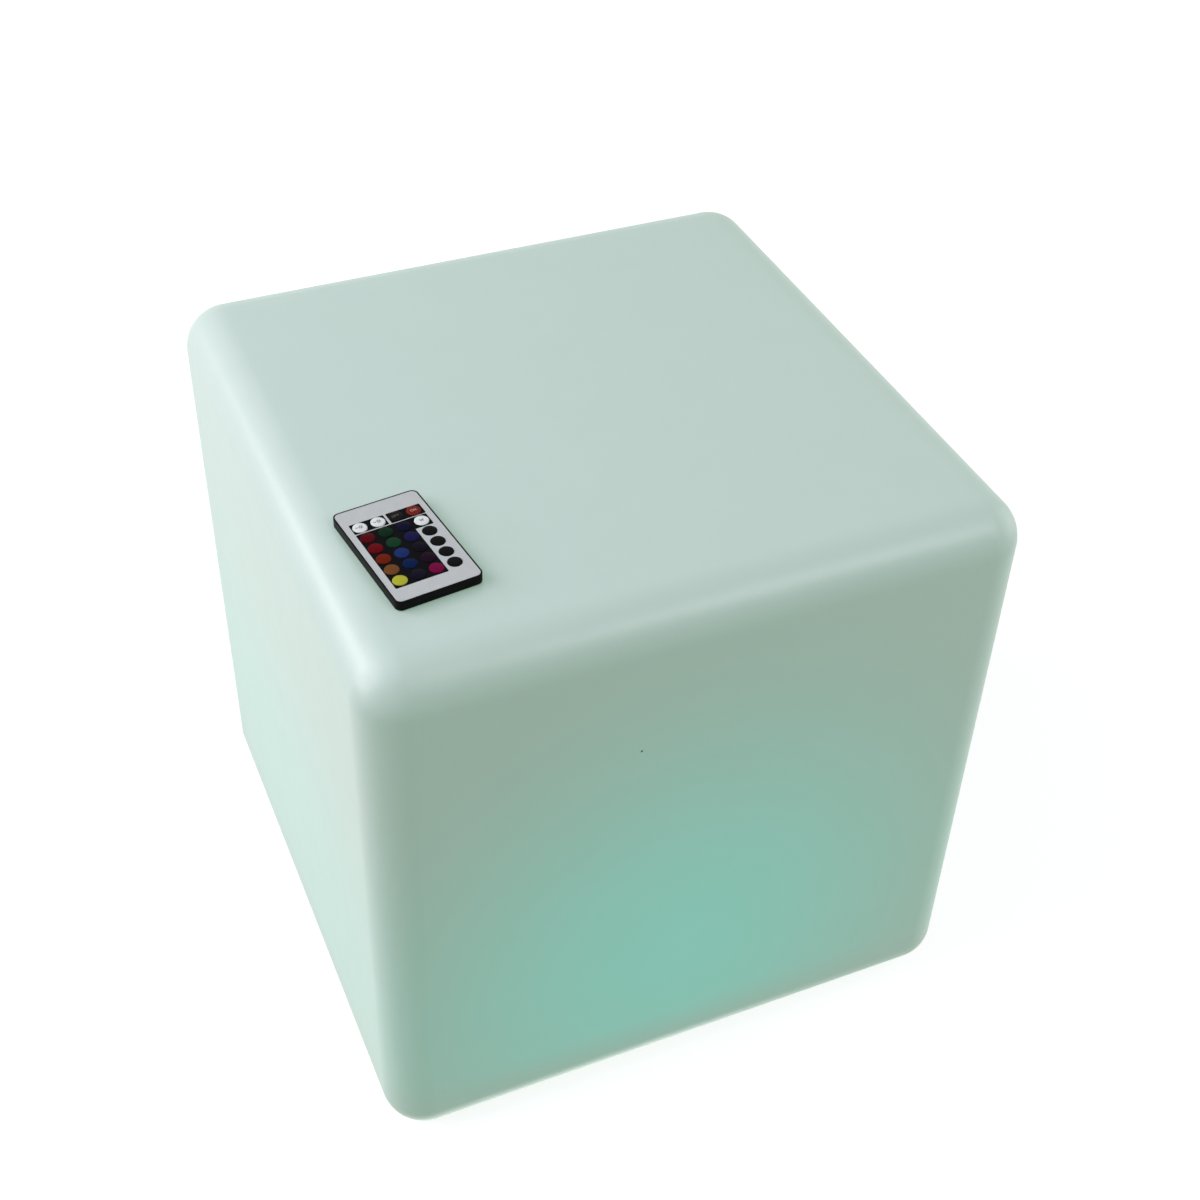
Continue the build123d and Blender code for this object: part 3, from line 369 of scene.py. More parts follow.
# %% Helpers for finishes
def painted(name, paint, *details, **sizes):
    """A material whose Principled shader takes the values and wires that paint returns."""
    made = bpy.data.materials.new(name)
    made.use_nodes = True
    shader = made.node_tree.nodes["Principled BSDF"]
    for socket, value in paint(Wire(made.node_tree), *details, **sizes).items():
        plug(made.node_tree, shader.inputs[socket], value)
    return made


def position(start):
    return start.node("ShaderNodeTexCoord", {}, {}, "Object")


def noise(at, size, detail=3):
    """Noise about zero whose blobs are about size across."""
    made = at.node("ShaderNodeTexNoise", {}, {"Vector": at, "Scale": 1 / size, "Detail": detail})
    return (made - 0.5) * 2


def bump(height, depth):
    """A normal from a height between -1 and 1 that stands for depth metres."""
    return height.node("ShaderNodeBump", {}, {"Height": height, "Distance": depth, "Strength": 1.0})


def shaded(at, colour, size, amount):
    """A colour that varies a little in lightness over blobs of one size."""
    dark = tuple(c * (1 - amount) for c in colour)
    light = tuple(min(1.0, c * (1 + amount)) for c in colour)
    return mix(clamp(noise(at, size) + 0.5), dark, light)


def specks(at, spacing, radius, share):
    """A mask of small round specks, in only a share of the cells of a loose grid."""
    cell = at.node("ShaderNodeTexVoronoi", {}, {"Vector": at, "Scale": 1 / spacing})
    chosen = cell.node("ShaderNodeSeparateColor", {}, {0: cell.other("Color")})
    near = clamp((radius / spacing - cell) * (spacing / radius) * 2)
    return near * chosen.math("LESS_THAN", share)


print("a noise with blobs of 1 mm has a scale of", round(1 / MM))

# %% [markdown]
# ## The cube's finish
# The shell is rotationally moulded polyethylene: matt and waxy, a little uneven, with a very
# fine grain. Light from the unit in the underside leaves it through the walls. It could be
# traced as real light through the plastic, but a colour that the surface gives off looks the
# same, is free of noise and travels with the mesh. It goes from a pale mist to teal by the
# distance from a point by the unit. Steps to the left or right and up or down count about
# double in that distance, so the spot is strong on the front and the back, and weak on the
# other two sides. Close to the floor it fades out, because the unit sits too high to reach there.

# %% Paint the shell
GLOW_CENTRE = (-0.0103, 0.0, 0.1102)
GLOW_SQUEEZE = (2.06, 1.0, 1.93)
GLOW_NEAR = 0.0545
GLOW_FAR = 0.584
GLOW_RISE_FROM = 12 * MM
GLOW_RISE = 40 * MM
GLOW_PATCH = 60 * MM
GLOW_TEAL = (0.018, 0.345, 0.230)
GLOW_MIST = (0.099, 0.205, 0.116)
SHELL_COLOUR = (0.485, 0.500, 0.540)
SHELL_TONE = 30 * MM
SHELL_WAVE = 14 * MM
SHELL_GRAIN = 0.9 * MM
SHELL_RELIEF = 0.05 * MM
SHELL_ROUGHNESS = 0.34
DUST_COLOUR = (0.10, 0.09, 0.08)
DUST = {"spacing": 55 * MM, "radius": 0.5 * MM, "share": 0.16}
FRONT_SPECK = (-0.044, -0.200, 0.303)
FRONT_SPECK_SIZE = 0.9 * MM
FRONT_SPECK_EDGE = 0.3 * MM


def shell_paint(start):
    at = position(start)
    away = at.vector("SUBTRACT", GLOW_CENTRE).vector("MULTIPLY", GLOW_SQUEEZE).vector("LENGTH")
    rise = clamp((at.part(2) - GLOW_RISE_FROM) / GLOW_RISE)
    spot = eased((GLOW_FAR - away) / (GLOW_FAR - GLOW_NEAR)) * rise
    patchy = noise(at, GLOW_PATCH, 2) * 0.06 + 1
    glow = mix(spot * patchy, GLOW_MIST, GLOW_TEAL)
    grain = noise(at, SHELL_GRAIN, 4)
    waves = noise(at, SHELL_WAVE, 2)
    front_speck = clamp((FRONT_SPECK_SIZE - at.vector("DISTANCE", FRONT_SPECK)) / FRONT_SPECK_EDGE)
    dust = specks(at, **DUST).most(front_speck)
    return {
        "Base Color": mix(dust, shaded(at, SHELL_COLOUR, SHELL_TONE, 0.012), DUST_COLOUR),
        "Emission Color": mix(dust, glow, (0.0, 0.0, 0.0)),
        "Emission Strength": 1.0,
        "Roughness": clamp(waves * 0.03 + grain * 0.03 + SHELL_ROUGHNESS),
        "Normal": bump(grain * 0.6 + waves, SHELL_RELIEF),
    }


finishes = {"shell_pe": painted("shell_plastic", shell_paint)}
print("shell finish", len(finishes["shell_pe"].node_tree.nodes), "nodes")

# %% [markdown]
# ## Colours that the model already names
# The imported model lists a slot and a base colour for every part. Reading the colours from there
# keeps the picture and the model in step, so what a flat colour can't say is added here: grain,
# wear, dust and print. In so pale a studio the remote's black case looks grey in its listed
# colour, so it is taken at a share of it.

# %% Read the slots
slot_of_node = {part["node"]: part["material_slot"] for part in frame["record"]["subparts"]}
colour_of_slot = {made["slot"]: made["base_color"][:3] for made in frame["record"]["materials"]}
COLOUR_SHARES = {"case_black": 0.3}


def slot_colour(slot, share=1.0):
    """A slot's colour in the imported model, times a share."""
    return tuple(c * share for c in colour_of_slot[slot])


def paint_family(family, paint):
    """One finish for each slot of a family, from the slot's colour and its own sizes."""
    for slot, sizes in family.items():
        colour = slot_colour(slot, COLOUR_SHARES.get(slot, 1.0))
        finishes[slot] = painted(slot, paint, colour, **sizes)
    print("finishes:", ", ".join(family))


print(len(colour_of_slot), "slots with a colour")

# %% [markdown]
# ## Moulded plastics
# The lower unit, the diffuser, the remote's case and the black fittings are all injection
# moulded. What shows on such parts is a fine spark-eroded grain, a slightly uneven gloss and a
# few scuffs on faces that get handled. One paint with a few sizes covers them. A dark plastic
# gets hardly any mirror shine, because the white studio would turn it grey.

# %% Plastic finishes
PLASTICS = {
    "housing_abs": {"grain": 0.35 * MM, "depth": 0.020 * MM, "gloss": 0.42, "scuffs": 0.10},
    "diffuser": {"grain": 0.60 * MM, "depth": 0.010 * MM, "gloss": 0.50, "scuffs": 0.02},
    "cradle_black": {"grain": 0.40 * MM, "depth": 0.020 * MM, "gloss": 0.50, "scuffs": 0.15},
    "case_black": {"grain": 0.25 * MM, "depth": 0.015 * MM, "gloss": 0.42, "scuffs": 0.12},
    "socket_black": {"grain": 0.50 * MM, "depth": 0.004 * MM, "gloss": 0.24, "scuffs": 0.15},
    "component": {"grain": 0.20 * MM, "depth": 0.012 * MM, "gloss": 0.45, "scuffs": 0.10},
    "ir_black": {"grain": 0.80 * MM, "depth": 0.002 * MM, "gloss": 0.12, "scuffs": 0.05},
}
DARK_BELOW = 0.1
DARK_SHINE = 0.04
PLAIN_SHINE = 0.4
SCUFF_ON_DARK = (0.06, 0.06, 0.06)


def scratches(at, length, width, share):
    """A mask of fine straight scratches, from a noise that is stretched one way."""
    thin = at.node("ShaderNodeMapping", {}, {
        "Vector": at, "Rotation": (0.3, 0.2, 0.9), "Scale": (1 / length, 1 / width, 1 / width)})
    streak = thin.node("ShaderNodeTexNoise", {}, {"Vector": thin, "Scale": 1.0, "Detail": 1})
    patch = noise(at, 6 * length, 2) + 0.5
    return clamp((streak - 0.72) * 8) * clamp(patch) * share


def plastic_paint(start, colour, grain, depth, gloss, scuffs):
    at = position(start)
    dark = max(colour) < DARK_BELOW
    pits = noise(at, grain, 3)
    sink = noise(at, 9 * MM, 2)
    marks = scratches(at, 6 * MM, 0.12 * MM, scuffs)
    pale = SCUFF_ON_DARK if dark else tuple(c * 0.6 + 0.32 for c in colour)
    return {
        "Base Color": mix(marks, shaded(at, colour, 7 * MM, 0.05), pale),
        "Roughness": clamp(pits * 0.06 + sink * 0.04 + marks * 0.3 + gloss),
        "Specular IOR Level": DARK_SHINE if dark else PLAIN_SHINE,
        "Normal": bump(pits + sink * 0.5 - marks, depth),
    }


paint_family(PLASTICS, plastic_paint)

# %% [markdown]
# ## Rubber and insulated wire
# Silicone seals, the socket's cap, the keypad's mat and the sleeves of the wires are soft. Soft
# surfaces look duller than plastic, pick up dust and show faint flow marks. Wire sleeves are
# glossier and have no dust.

# %% Rubber finishes
RUBBERS = {
    "seal_rubber": {"gloss": 0.62, "dust": 0.5},
    "cap_rubber": {"gloss": 0.58, "dust": 0.6},
    "keypad_rubber": {"gloss": 0.55, "dust": 0.3},
    "lead_red": {"gloss": 0.32, "dust": 0.0},
    "lead_black": {"gloss": 0.32, "dust": 0.0},
    "lead_white": {"gloss": 0.34, "dust": 0.0},
}
RUBBER_DUST = (0.35, 0.34, 0.32)


def rubber_paint(start, colour, gloss, dust):
    at = position(start)
    flow = noise(at, 3 * MM, 4)
    fine = noise(at, 0.3 * MM, 2)
    motes = specks(at, 1.6 * MM, 0.10 * MM, 0.3) * dust
    return {
        "Base Color": mix(motes, shaded(at, colour, 2 * MM, 0.10), RUBBER_DUST),
        "Roughness": clamp(flow * 0.06 + gloss),
        "Normal": bump(flow * 0.6 + fine * 0.4, 0.012 * MM),
    }


paint_family(RUBBERS, rubber_paint)

# %% [markdown]
# ## Metals
# Screws, nuts, the strap, the switch's body, the spring contacts, the coin cell and the threaded
# inserts are bare or plated metal. Bare metal is read by its marks: turning lines on round parts
# and brushed lines on flat ones. Both are one noise, stretched in a different direction.

# %% Metal finishes
METALS = {
    "screw_steel": {"gloss": 0.28, "lines": (0.15 * MM, 0.15 * MM, 4 * MM), "tarnish": 0.10},
    "nut_steel": {"gloss": 0.30, "lines": (0.20 * MM, 0.20 * MM, 3 * MM), "tarnish": 0.10},
    "switch_metal": {"gloss": 0.22, "lines": (3 * MM, 3 * MM, 0.12 * MM), "tarnish": 0.06},
    "strap_steel": {"gloss": 0.34, "lines": (0.15 * MM, 8 * MM, 0.15 * MM), "tarnish": 0.12},
    "contact_spring": {"gloss": 0.26, "lines": (0.12 * MM, 5 * MM, 0.12 * MM), "tarnish": 0.08},
    "coin_steel": {"gloss": 0.24, "lines": (0.12 * MM, 9 * MM, 0.12 * MM), "tarnish": 0.08},
    "brass": {"gloss": 0.30, "lines": (2 * MM, 2 * MM, 0.25 * MM), "tarnish": 0.25},
}


def metal_paint(start, colour, gloss, lines, tarnish):
    at = position(start)
    drawn = at.node("ShaderNodeMapping", {}, {"Vector": at, "Scale": tuple(1 / size for size in lines)})
    marks = noise(drawn, 1.0, 2)
    stain = clamp(noise(at, 5 * MM, 3) + 0.3) * tarnish
    dull = tuple(c * 0.45 for c in colour)
    return {
        "Base Color": mix(stain, shaded(at, colour, 1 * MM, 0.06), dull),
        "Metallic": 1 - stain * 0.3,
        "Roughness": clamp(marks * 0.08 + stain * 0.4 + gloss),
        "Normal": bump(marks, 0.006 * MM),
    }


paint_family(METALS, metal_paint)

# %% [markdown]
# ## Circuit boards
# A board is glass laminate under a coloured lacquer. Copper tracks show through the lacquer as
# slightly raised lines of a lighter tone that run square to each other, and bare pads shine. A
# brick pattern with long bricks gives such lines without drawing a circuit.

# %% Board finishes
BOARDS = {
    "board_green": {"track": (0.05, 0.30, 0.12), "pad": (0.75, 0.62, 0.35)},
    "led_board_white": {"track": (0.80, 0.80, 0.78), "pad": (0.62, 0.62, 0.60)},
}


def tracks(at, turn):
    """A mask of thin lines that run one way and jog sideways now and then."""
    laid = at.node("ShaderNodeMapping", {}, {"Vector": at, "Rotation": (0, 0, turn)})
    return laid.node("ShaderNodeTexBrick", {"offset": 0.5}, {
        "Vector": laid, "Scale": 1.0, "Mortar Size": 0.18 * MM, "Mortar Smooth": 0.4,
        "Brick Width": 9 * MM, "Row Height": 1.7 * MM}, 1)


def board_paint(start, colour, track, pad):
    at = position(start)
    half = clamp(noise(at, 16 * MM, 1) * 6)
    lines = tracks(at, 0) * half + tracks(at, math.pi / 2) * (1 - half)
    pads = specks(at, 3.1 * MM, 0.5 * MM, 0.3)
    lacquer = mix(lines, shaded(at, colour, 4 * MM, 0.06), track)
    return {
        "Base Color": mix(pads, lacquer, pad),
        "Metallic": pads * 0.9,
        "Roughness": clamp(noise(at, 0.6 * MM) * 0.05 + 0.34 - pads * 0.08),
        "Normal": bump(lines + pads, 0.035 * MM),
    }


paint_family(BOARDS, board_paint)

# %% [markdown]
# ## The last few finishes
# The cells wear a shrunk sleeve that leaves their steel ends bare. The light pipe beside the
# socket and the remote's infra-red lamp are clear plastic, which is a fixed transmission with a
# little haze. The sleeve ends at a height along the cell, so its mask is that height's distance.

# %% Cell sleeve and clear plastics
CELL_SLEEVE_END = 31.2 * MM
CLEAR = {"lens_clear": {"through": 0.85}, "emitter_clear": {"through": 0.9}}


def sleeve_paint(start, colour):
    at = position(start)
    bare = clamp((abs(at.part()) - CELL_SLEEVE_END) / (0.2 * MM))
    creases = noise(at, 2.5 * MM, 3)
    return {
        "Base Color": mix(bare, shaded(at, colour, 5 * MM, 0.08), slot_colour("coin_steel")),
        "Metallic": bare,
        "Roughness": clamp(creases * 0.08 + 0.30),
        "Normal": bump(creases, 0.03 * MM),
    }


def clear_paint(start, colour, through):
    at = position(start)
    haze = noise(at, 0.5 * MM, 3)
    return {
        "Base Color": shaded(at, colour, 1.5 * MM, 0.04),
        "Transmission Weight": through,
        "Roughness": clamp(haze * 0.06 + 0.12),
        "Normal": bump(haze, 0.004 * MM),
    }


paint_family({"cell_wrap": {}}, sleeve_paint)
paint_family(CLEAR, clear_paint)

# %% [markdown]
# ## Shapes that follow a rule
# A rounded cube, a ring of screws or a set of key caps follow a rule, so Geometry Nodes make
# them. A helper builds each tree with a named input for every size, runs it on a small mesh and
# keeps the result as a plain mesh, because exported meshes can hold no instances.

# %% Build a rule
def rule(name, sizes, build):
    """A geometry tree with a named input for each size and one for the material."""
    tree = bpy.data.node_groups.new(name, "GeometryNodeTree")
    tree.interface.new_socket("Geometry", in_out="INPUT", socket_type="NodeSocketGeometry")
    tree.interface.new_socket("Geometry", in_out="OUTPUT", socket_type="NodeSocketGeometry")
    for size, value in sizes.items():
        kind = "NodeSocketInt" if isinstance(value, int) else "NodeSocketFloat"
        tree.interface.new_socket(size, in_out="INPUT", socket_type=kind).default_value = value
    tree.interface.new_socket("Finish", in_out="INPUT", socket_type="NodeSocketMaterial")
    given = tree.nodes.new("NodeGroupInput")
    start = Wire(tree, given.outputs["Geometry"])
    shape = build(start, {size: Wire(tree, given.outputs[size]) for size in sizes})
    real = shape.node("GeometryNodeRealizeInstances", {}, {"Geometry": shape})
    real = real.node("GeometryNodeSetMaterial", {}, {
        "Geometry": real, "Material": Wire(tree, given.outputs["Finish"])})
    tree.links.new(real.socket, tree.nodes.new("NodeGroupOutput").inputs["Geometry"])
    print(name, "has", len(tree.nodes), "nodes and the inputs", ", ".join(sizes))
    return tree


# %% Run a rule and hand its piece over
stood_for = set()


def as_mesh(piece):
    """Swaps a piece's modifiers for the mesh that they make."""
    shapes = bpy.context.evaluated_depsgraph_get()
    mesh = bpy.data.meshes.new_from_object(piece.evaluated_get(shapes), depsgraph=shapes)
    piece.modifiers.clear()
    piece.data = mesh
    mesh.name = piece.name


def grow(name, tree, finish, values, seed_mesh=((), (), ())):
    """Runs a rule with its inputs set, and keeps what it makes as a plain mesh."""
    made = mesh_object(name, *seed_mesh)
    modifier = made.modifiers.new("rule", "NODES")
    modifier.node_group = tree
    wanted = {**values, "Finish": finish}
    for item in tree.interface.items_tree:
        if item.in_out == "INPUT" and item.name in wanted:
            modifier[item.identifier] = wanted[item.name]
    as_mesh(made)
    return made


def stand_for(piece, node):
    """The piece takes a CAD node's place and body, and the node is hidden."""
    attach(piece, body_of_node[node])
    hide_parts(node)
    stood_for.add(node)


print(len(nodes) - len(stood_for), "nodes still show their packed mesh")

# %% [markdown]
# ## The shell
# A rounded cube is a plain cube whose points are pushed: a point over the flat middle of a face
# stays, and a point in the outer band turns round the edge by an even share of 45 degrees. One
# rule serves the outer and the inner skin. The cup in the underside is then joined and cut with
# booleans, whose cutter flares at its mouth, so that the mouth gets its rounding. Bevels could
# round a cube too, but they would leave the flats as single faces, which shade unevenly.

# %% Push a cube round
FLAT_SHARE = 0.5
QUARTER = math.pi / 4


def moved(shape, x=0.0, y=0.0, z=0.0):
    return shape.node("GeometryNodeTransform", {}, {
        "Geometry": shape, "Translation": point(shape, x, y, z)})


def pushed(cube, half, radius):
    """Moves the points of a cube from -1 to 1 on to a rounded cube about the origin."""
    at = cube.node("GeometryNodeInputPosition")
    flat = []
    turns = []
    for axis in range(3):
        c = at.part(axis)
        flat.append((c / FLAT_SHARE).least(1).most(-1) * (half - radius))
        band = (abs(c) - FLAT_SHARE).most(0) / (1 - FLAT_SHARE)
        turns.append((band * QUARTER).math("TANGENT") * c.math("SIGN"))
    way = point(at, *turns).vector("NORMALIZE")
    out = way.node("ShaderNodeVectorMath", {"operation": "SCALE"}, {0: way, "Scale": radius})
    place = point(at, *flat).vector("ADD", out)
    return cube.node("GeometryNodeSetPosition", {}, {"Geometry": cube, "Position": place})


def rounded_cube(start, half, radius, points):
    cube = start.node("GeometryNodeMeshCube", {}, {
        "Size": (2, 2, 2), "Vertices X": points, "Vertices Y": points, "Vertices Z": points})
    return moved(pushed(cube, half, radius), z=EDGE / 2)


print("a face is flat for", FLAT_SHARE, "of its points")

# %% Round cutters
AROUND = 128
FLARE_ROWS = 12


def drum(start, radius, low, high):
    """An upright cylinder between two heights."""
    made = start.node("GeometryNodeMeshCylinder", {}, {
        "Vertices": AROUND, "Radius": radius, "Depth": high - low})
    return moved(made, z=(high + low) / 2)


def flared_drum(start, radius, high, flare):
    """A cutter for the recess: a drum whose lower end opens out on a quarter circle."""
    made = start.node("GeometryNodeMeshCylinder", {}, {
        "Vertices": AROUND, "Side Segments": FLARE_ROWS, "Radius": 1.0, "Depth": 1.0})
    x = made.node("GeometryNodeInputPosition").part()
    share = x.other(2) + 0.5
    turn = clamp((share - 1 / FLARE_ROWS) * (FLARE_ROWS / (FLARE_ROWS - 2))) * (math.pi / 2)
    reach = radius + flare * (1 - turn.math("SINE"))
    last = share.math("GREATER_THAN", 1 - 0.5 / FLARE_ROWS)
    first = share.math("LESS_THAN", 0.5 / FLARE_ROWS)
    height = flare * (1 - turn.math("COSINE")) + last * (high - flare) - first * flare
    place = point(x, x * reach, x.other(1) * reach, height)
    return made.node("GeometryNodeSetPosition", {}, {"Geometry": made, "Position": place})


print("a cutter has", AROUND, "sides, and its flare", FLARE_ROWS - 2, "steps")


# %% Join, cut and shade
def boolean(first, operation, *others):
    """Cuts the others out of a shape, or joins them to it."""
    made = first.node("GeometryNodeMeshBoolean", {"operation": operation, "solver": "MANIFOLD"})
    sockets = made.socket.node.inputs
    plug(first.tree, sockets["Mesh 1" if operation == "DIFFERENCE" else "Mesh 2"], first)
    for other in others:
        plug(first.tree, sockets["Mesh 2"], other)
    return made


def soft_shaded(shape, angle):
    """Smooth shading, with the edges that turn more than an angle kept crisp."""
    shape = shape.node("GeometryNodeSetShadeSmooth", {}, {"Geometry": shape})
    crisp = shape.node("GeometryNodeInputMeshEdgeAngle").math("GREATER_THAN", math.radians(angle))
    return shape.node("GeometryNodeSetShadeSmooth", {"domain": "EDGE"}, {
        "Geometry": shape, "Selection": crisp, "Shade Smooth": False})


# %% Grow the shell
OUTER_POINTS = 65
INNER_POINTS = 33
SHELL_CRISP = 25


def shell_rule(start, size):
    half, wall, ledge = size["Edge"] / 2, size["Wall"], size["Ledge"]
    outer = rounded_cube(start, half, size["Rounding"], OUTER_POINTS)
    inner = rounded_cube(start, half - wall, size["Rounding"] - wall, INNER_POINTS)
    cup = drum(start, size["Recess radius"] + wall, wall / 2, ledge + wall)
    recess = flared_drum(start, size["Recess radius"], ledge, size["Mouth rounding"])
    opening = drum(start, size["Opening radius"], ledge / 2, ledge + 2 * wall)
    joined = boolean(boolean(outer, "DIFFERENCE", inner), "UNION", cup)
    return soft_shaded(boolean(joined, "DIFFERENCE", recess, opening), SHELL_CRISP)


shell_sizes = {
    "Edge": EDGE, "Rounding": EDGE_RADIUS, "Wall": WALL, "Recess radius": recess_radius,
    "Ledge": ledge_z, "Opening radius": opening_radius, "Mouth rounding": MOUTH_ROUND}
shell_tree = rule("shell rule", shell_sizes, shell_rule)
shell = grow("shell", shell_tree, finishes["shell_pe"], shell_sizes)
stand_for(shell, "cube_shell")
print("shell", len(shell.data.polygons), "faces")

# %% [markdown]
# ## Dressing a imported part
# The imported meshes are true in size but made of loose, flat triangles. A dressed copy is merged
# into one surface, its flat areas are joined, its edges get the small rounding that a mould or a
# tool leaves, and it is shaded smooth across curves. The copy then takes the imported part's place.
# Modelling each part again would only repeat shapes that are right already.

# %% Dress the parts that are right in form
MERGE = 0.001 * MM
FLAT_ANGLE = math.radians(0.6)
CURVE_ANGLE = math.radians(32)

ROUNDINGS = {
    "unit_base": 0.30, "light_dome": 0.40, "charge_socket": 0.15, "socket_cap": 0.25,
    "switch_body": 0.12, "panel_nuts": 0.15, "charge_lens": 0.10, "remote_case": 0.15,
    "remote_tray": 0.12, "remote_emitter": 0.0, "coin_cell": 0.15, "battery_cells": 0.20,
    "battery_cradle": 0.25, "battery_strap": 0.12, "battery_leads": 0.0, "panel_leads": 0.0,
    "led_leads": 0.0, "board_parts": 0.10, "board_screws": 0.0, "ir_receiver": 0.10,
    "shell_inserts": 0.10, "seal_ring": 0.25, "dome_seal": 0.0,
}


def merged_copy(node):
    mesh = nodes[node].data.copy()
    mesh.materials.clear()
    form = bmesh.new()
    form.from_mesh(mesh)
    bmesh.ops.remove_doubles(form, verts=form.verts, dist=MERGE)
    bmesh.ops.dissolve_limit(form, angle_limit=FLAT_ANGLE, verts=form.verts, edges=form.edges)
    form.to_mesh(mesh)
    form.free()
    return mesh


def dress(node, rounding):
    piece = bpy.data.objects.new(node + "_dressed", merged_copy(node))
    bpy.context.scene.collection.objects.link(piece)
    if rounding:
        bevel = piece.modifiers.new("rounding", "BEVEL")
        bevel.width = rounding * MM
        bevel.segments = 2
        bevel.limit_method = "ANGLE"
        bevel.angle_limit = CURVE_ANGLE
        bevel.miter_outer = "MITER_ARC"
        as_mesh(piece)
    piece.data.materials.append(finishes[slot_of_node[node]])
    piece.data.shade_smooth()
    piece.data.set_sharp_from_angle(angle=CURVE_ANGLE)
    stand_for(piece, node)
    return piece


faces = sum(len(dress(node, rounding).data.polygons) for node, rounding in ROUNDINGS.items())
print(len(ROUNDINGS), "dressed parts,", faces, "faces")

# %% [markdown]
# ## Things that are turned or set in rings
# Screws, key caps and the push button are round about an axis: a profile turned in a lathe. One
# rule turns any profile, which it reads from the points of the mesh it runs on. A second sets
# copies on a circle at even angles, as a drill jig would. The Screw modifier turns a profile
# too, but in a tree the turned form can go straight on to a cut or a ring.

# %% Turn a profile
def turned(start, rows, around):
    """Turns the profile, points (radius, 0, height), that the rule runs on about Z."""
    grid = start.node("GeometryNodeMeshGrid", {}, {"Vertices X": around + 1, "Vertices Y": rows})
    index = grid.node("GeometryNodeInputIndex")
    column = ((index + 0.5) / rows).math("FLOOR")
    row = index - column * rows
    at = start.node("GeometryNodeInputPosition")
    radius = start.node("GeometryNodeSampleIndex", {"data_type": "FLOAT_VECTOR"}, {
        "Geometry": start, "Value": at, "Index": row}).part()
    angle = column * (2 * math.pi / around)
    place = point(start, radius * angle.math("COSINE"), radius * angle.math("SINE"), radius.other(2))
    made = grid.node("GeometryNodeSetPosition", {}, {"Geometry": grid, "Position": place})
    return made.node("GeometryNodeMergeByDistance", {}, {"Geometry": made, "Distance": MERGE})


def lathe_rule(rows, around, crisp):
    """What builds a rule that turns a profile and sets it at X, Y and Z."""
    def build(start, size):
        return moved(soft_shaded(turned(start, rows, around), crisp), size["X"], size["Y"], size["Z"])
    return build


def profile_mesh(points):
    """A profile in millimetres as vertices in metres, with the edges between them."""
    return [(r * MM, 0, z * MM) for r, z in points], [(i, i + 1) for i in range(len(points) - 1)], []


def arc(cx, cz, radius, first, last, steps):
    """Points of a circle between two angles in degrees."""
    turns = [math.radians(first + (last - first) * i / steps) for i in range(steps + 1)]
    return [(cx + radius * math.cos(t), cz + radius * math.sin(t)) for t in turns]


print("a quarter circle in 5 steps has", len(arc(0, 0, 1, 0, 90, 5)), "points")

# %% Set copies on a ring
SPIN = 6.28


def circle_of(start, count, radius, height, start_angle):
    """Points at even angles on a circle at some height."""
    circle = start.node("GeometryNodeMeshCircle", {}, {"Vertices": count, "Radius": radius})
    return start.node("GeometryNodeTransform", {}, {
        "Geometry": circle, "Translation": point(start, z=height),
        "Rotation": point(start, z=start_angle)})


def ringed(shape, circle, flip, seed):
    """Copies of a shape on a circle, each spun by a random angle that the seed fixes."""
    spin = shape.node("FunctionNodeRandomValue", {"data_type": "FLOAT"},
                      {2: 0.0, 3: SPIN, "Seed": seed}, 1)
    return circle.node("GeometryNodeInstanceOnPoints", {}, {
        "Points": circle, "Instance": shape, "Rotation": point(shape, flip, 0.0, spin)})


print("copies are spun by up to", round(math.degrees(SPIN)), "degrees")

# %% [markdown]
# ## The screws
# Six screws hold the unit in the shell and six small ones hold the diffuser. They are socket
# screws with a rounded pan head. The profile gives head and shank, a six-sided cutter gives the
# driving socket, and the ring rule sets them, each turned to its own random stop.

# %% Set the screws
SCREW_CRISP = 32
SCREW_AROUND = 40
SCREW_SIZES = {"unit_screws": (3.8, 2.4, 2.0, 12.0), "dome_screws": (2.75, 2.0, 1.5, 8.0)}
UNIT_SEAT = 23.5 * MM
DOME_HEAD = 2.0 * MM


def screw_profile(head, height, shank, length):
    """Pan head below z = 0 and shank above it, in millimetres."""
    bulge = height * 0.45
    crown = arc(head - bulge, -height + bulge, bulge, -90, 0, 5)
    tip = [(shank, length - 0.5), (shank - 0.5, length), (0, length)]
    return [(0, -height)] + crown + [(head, -0.15), (head - 0.15, 0), (shank, 0)] + tip


def screw_rule(start, size):
    blank = turned(start, len(screw_profile(*SCREW_SIZES["unit_screws"])), SCREW_AROUND)
    socket = start.node("GeometryNodeMeshCylinder", {}, {
        "Vertices": 6, "Radius": size["Socket radius"], "Depth": size["Socket depth"] * 2})
    socket = moved(socket, z=0 - size["Head height"])
    one = soft_shaded(boolean(blank, "DIFFERENCE", socket), SCREW_CRISP)
    circle = circle_of(one, size["Count"], size["Ring radius"], size["Height"], size["Start angle"])
    return ringed(one, circle, size["Flip"], size["Seed"])


unit_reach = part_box("unit_screws")[1].x
dome_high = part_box("dome_screws")[1]
screws = {
    "unit_screws": {"Count": 6, "Start angle": 0.0, "Height": UNIT_SEAT,
                    "Flip": 0.0, "Seed": 3, "Ring radius": unit_reach},
    "dome_screws": {"Count": 6, "Start angle": math.radians(30), "Height": dome_high.z - DOME_HEAD,
                    "Flip": math.pi, "Seed": 8, "Ring radius": dome_high.y},
}
for node, values in screws.items():
    head, height = SCREW_SIZES[node][:2]
    values["Ring radius"] -= head * MM
    values["Socket radius"] = head / 2 * MM
    values["Socket depth"] = height / 2 * MM
    values["Head height"] = height * MM
    tree = rule(node + " rule", values, screw_rule)
    form = profile_mesh(screw_profile(*SCREW_SIZES[node]))
    stand_for(grow(node + "_ring", tree, finishes["screw_steel"], values, form), node)

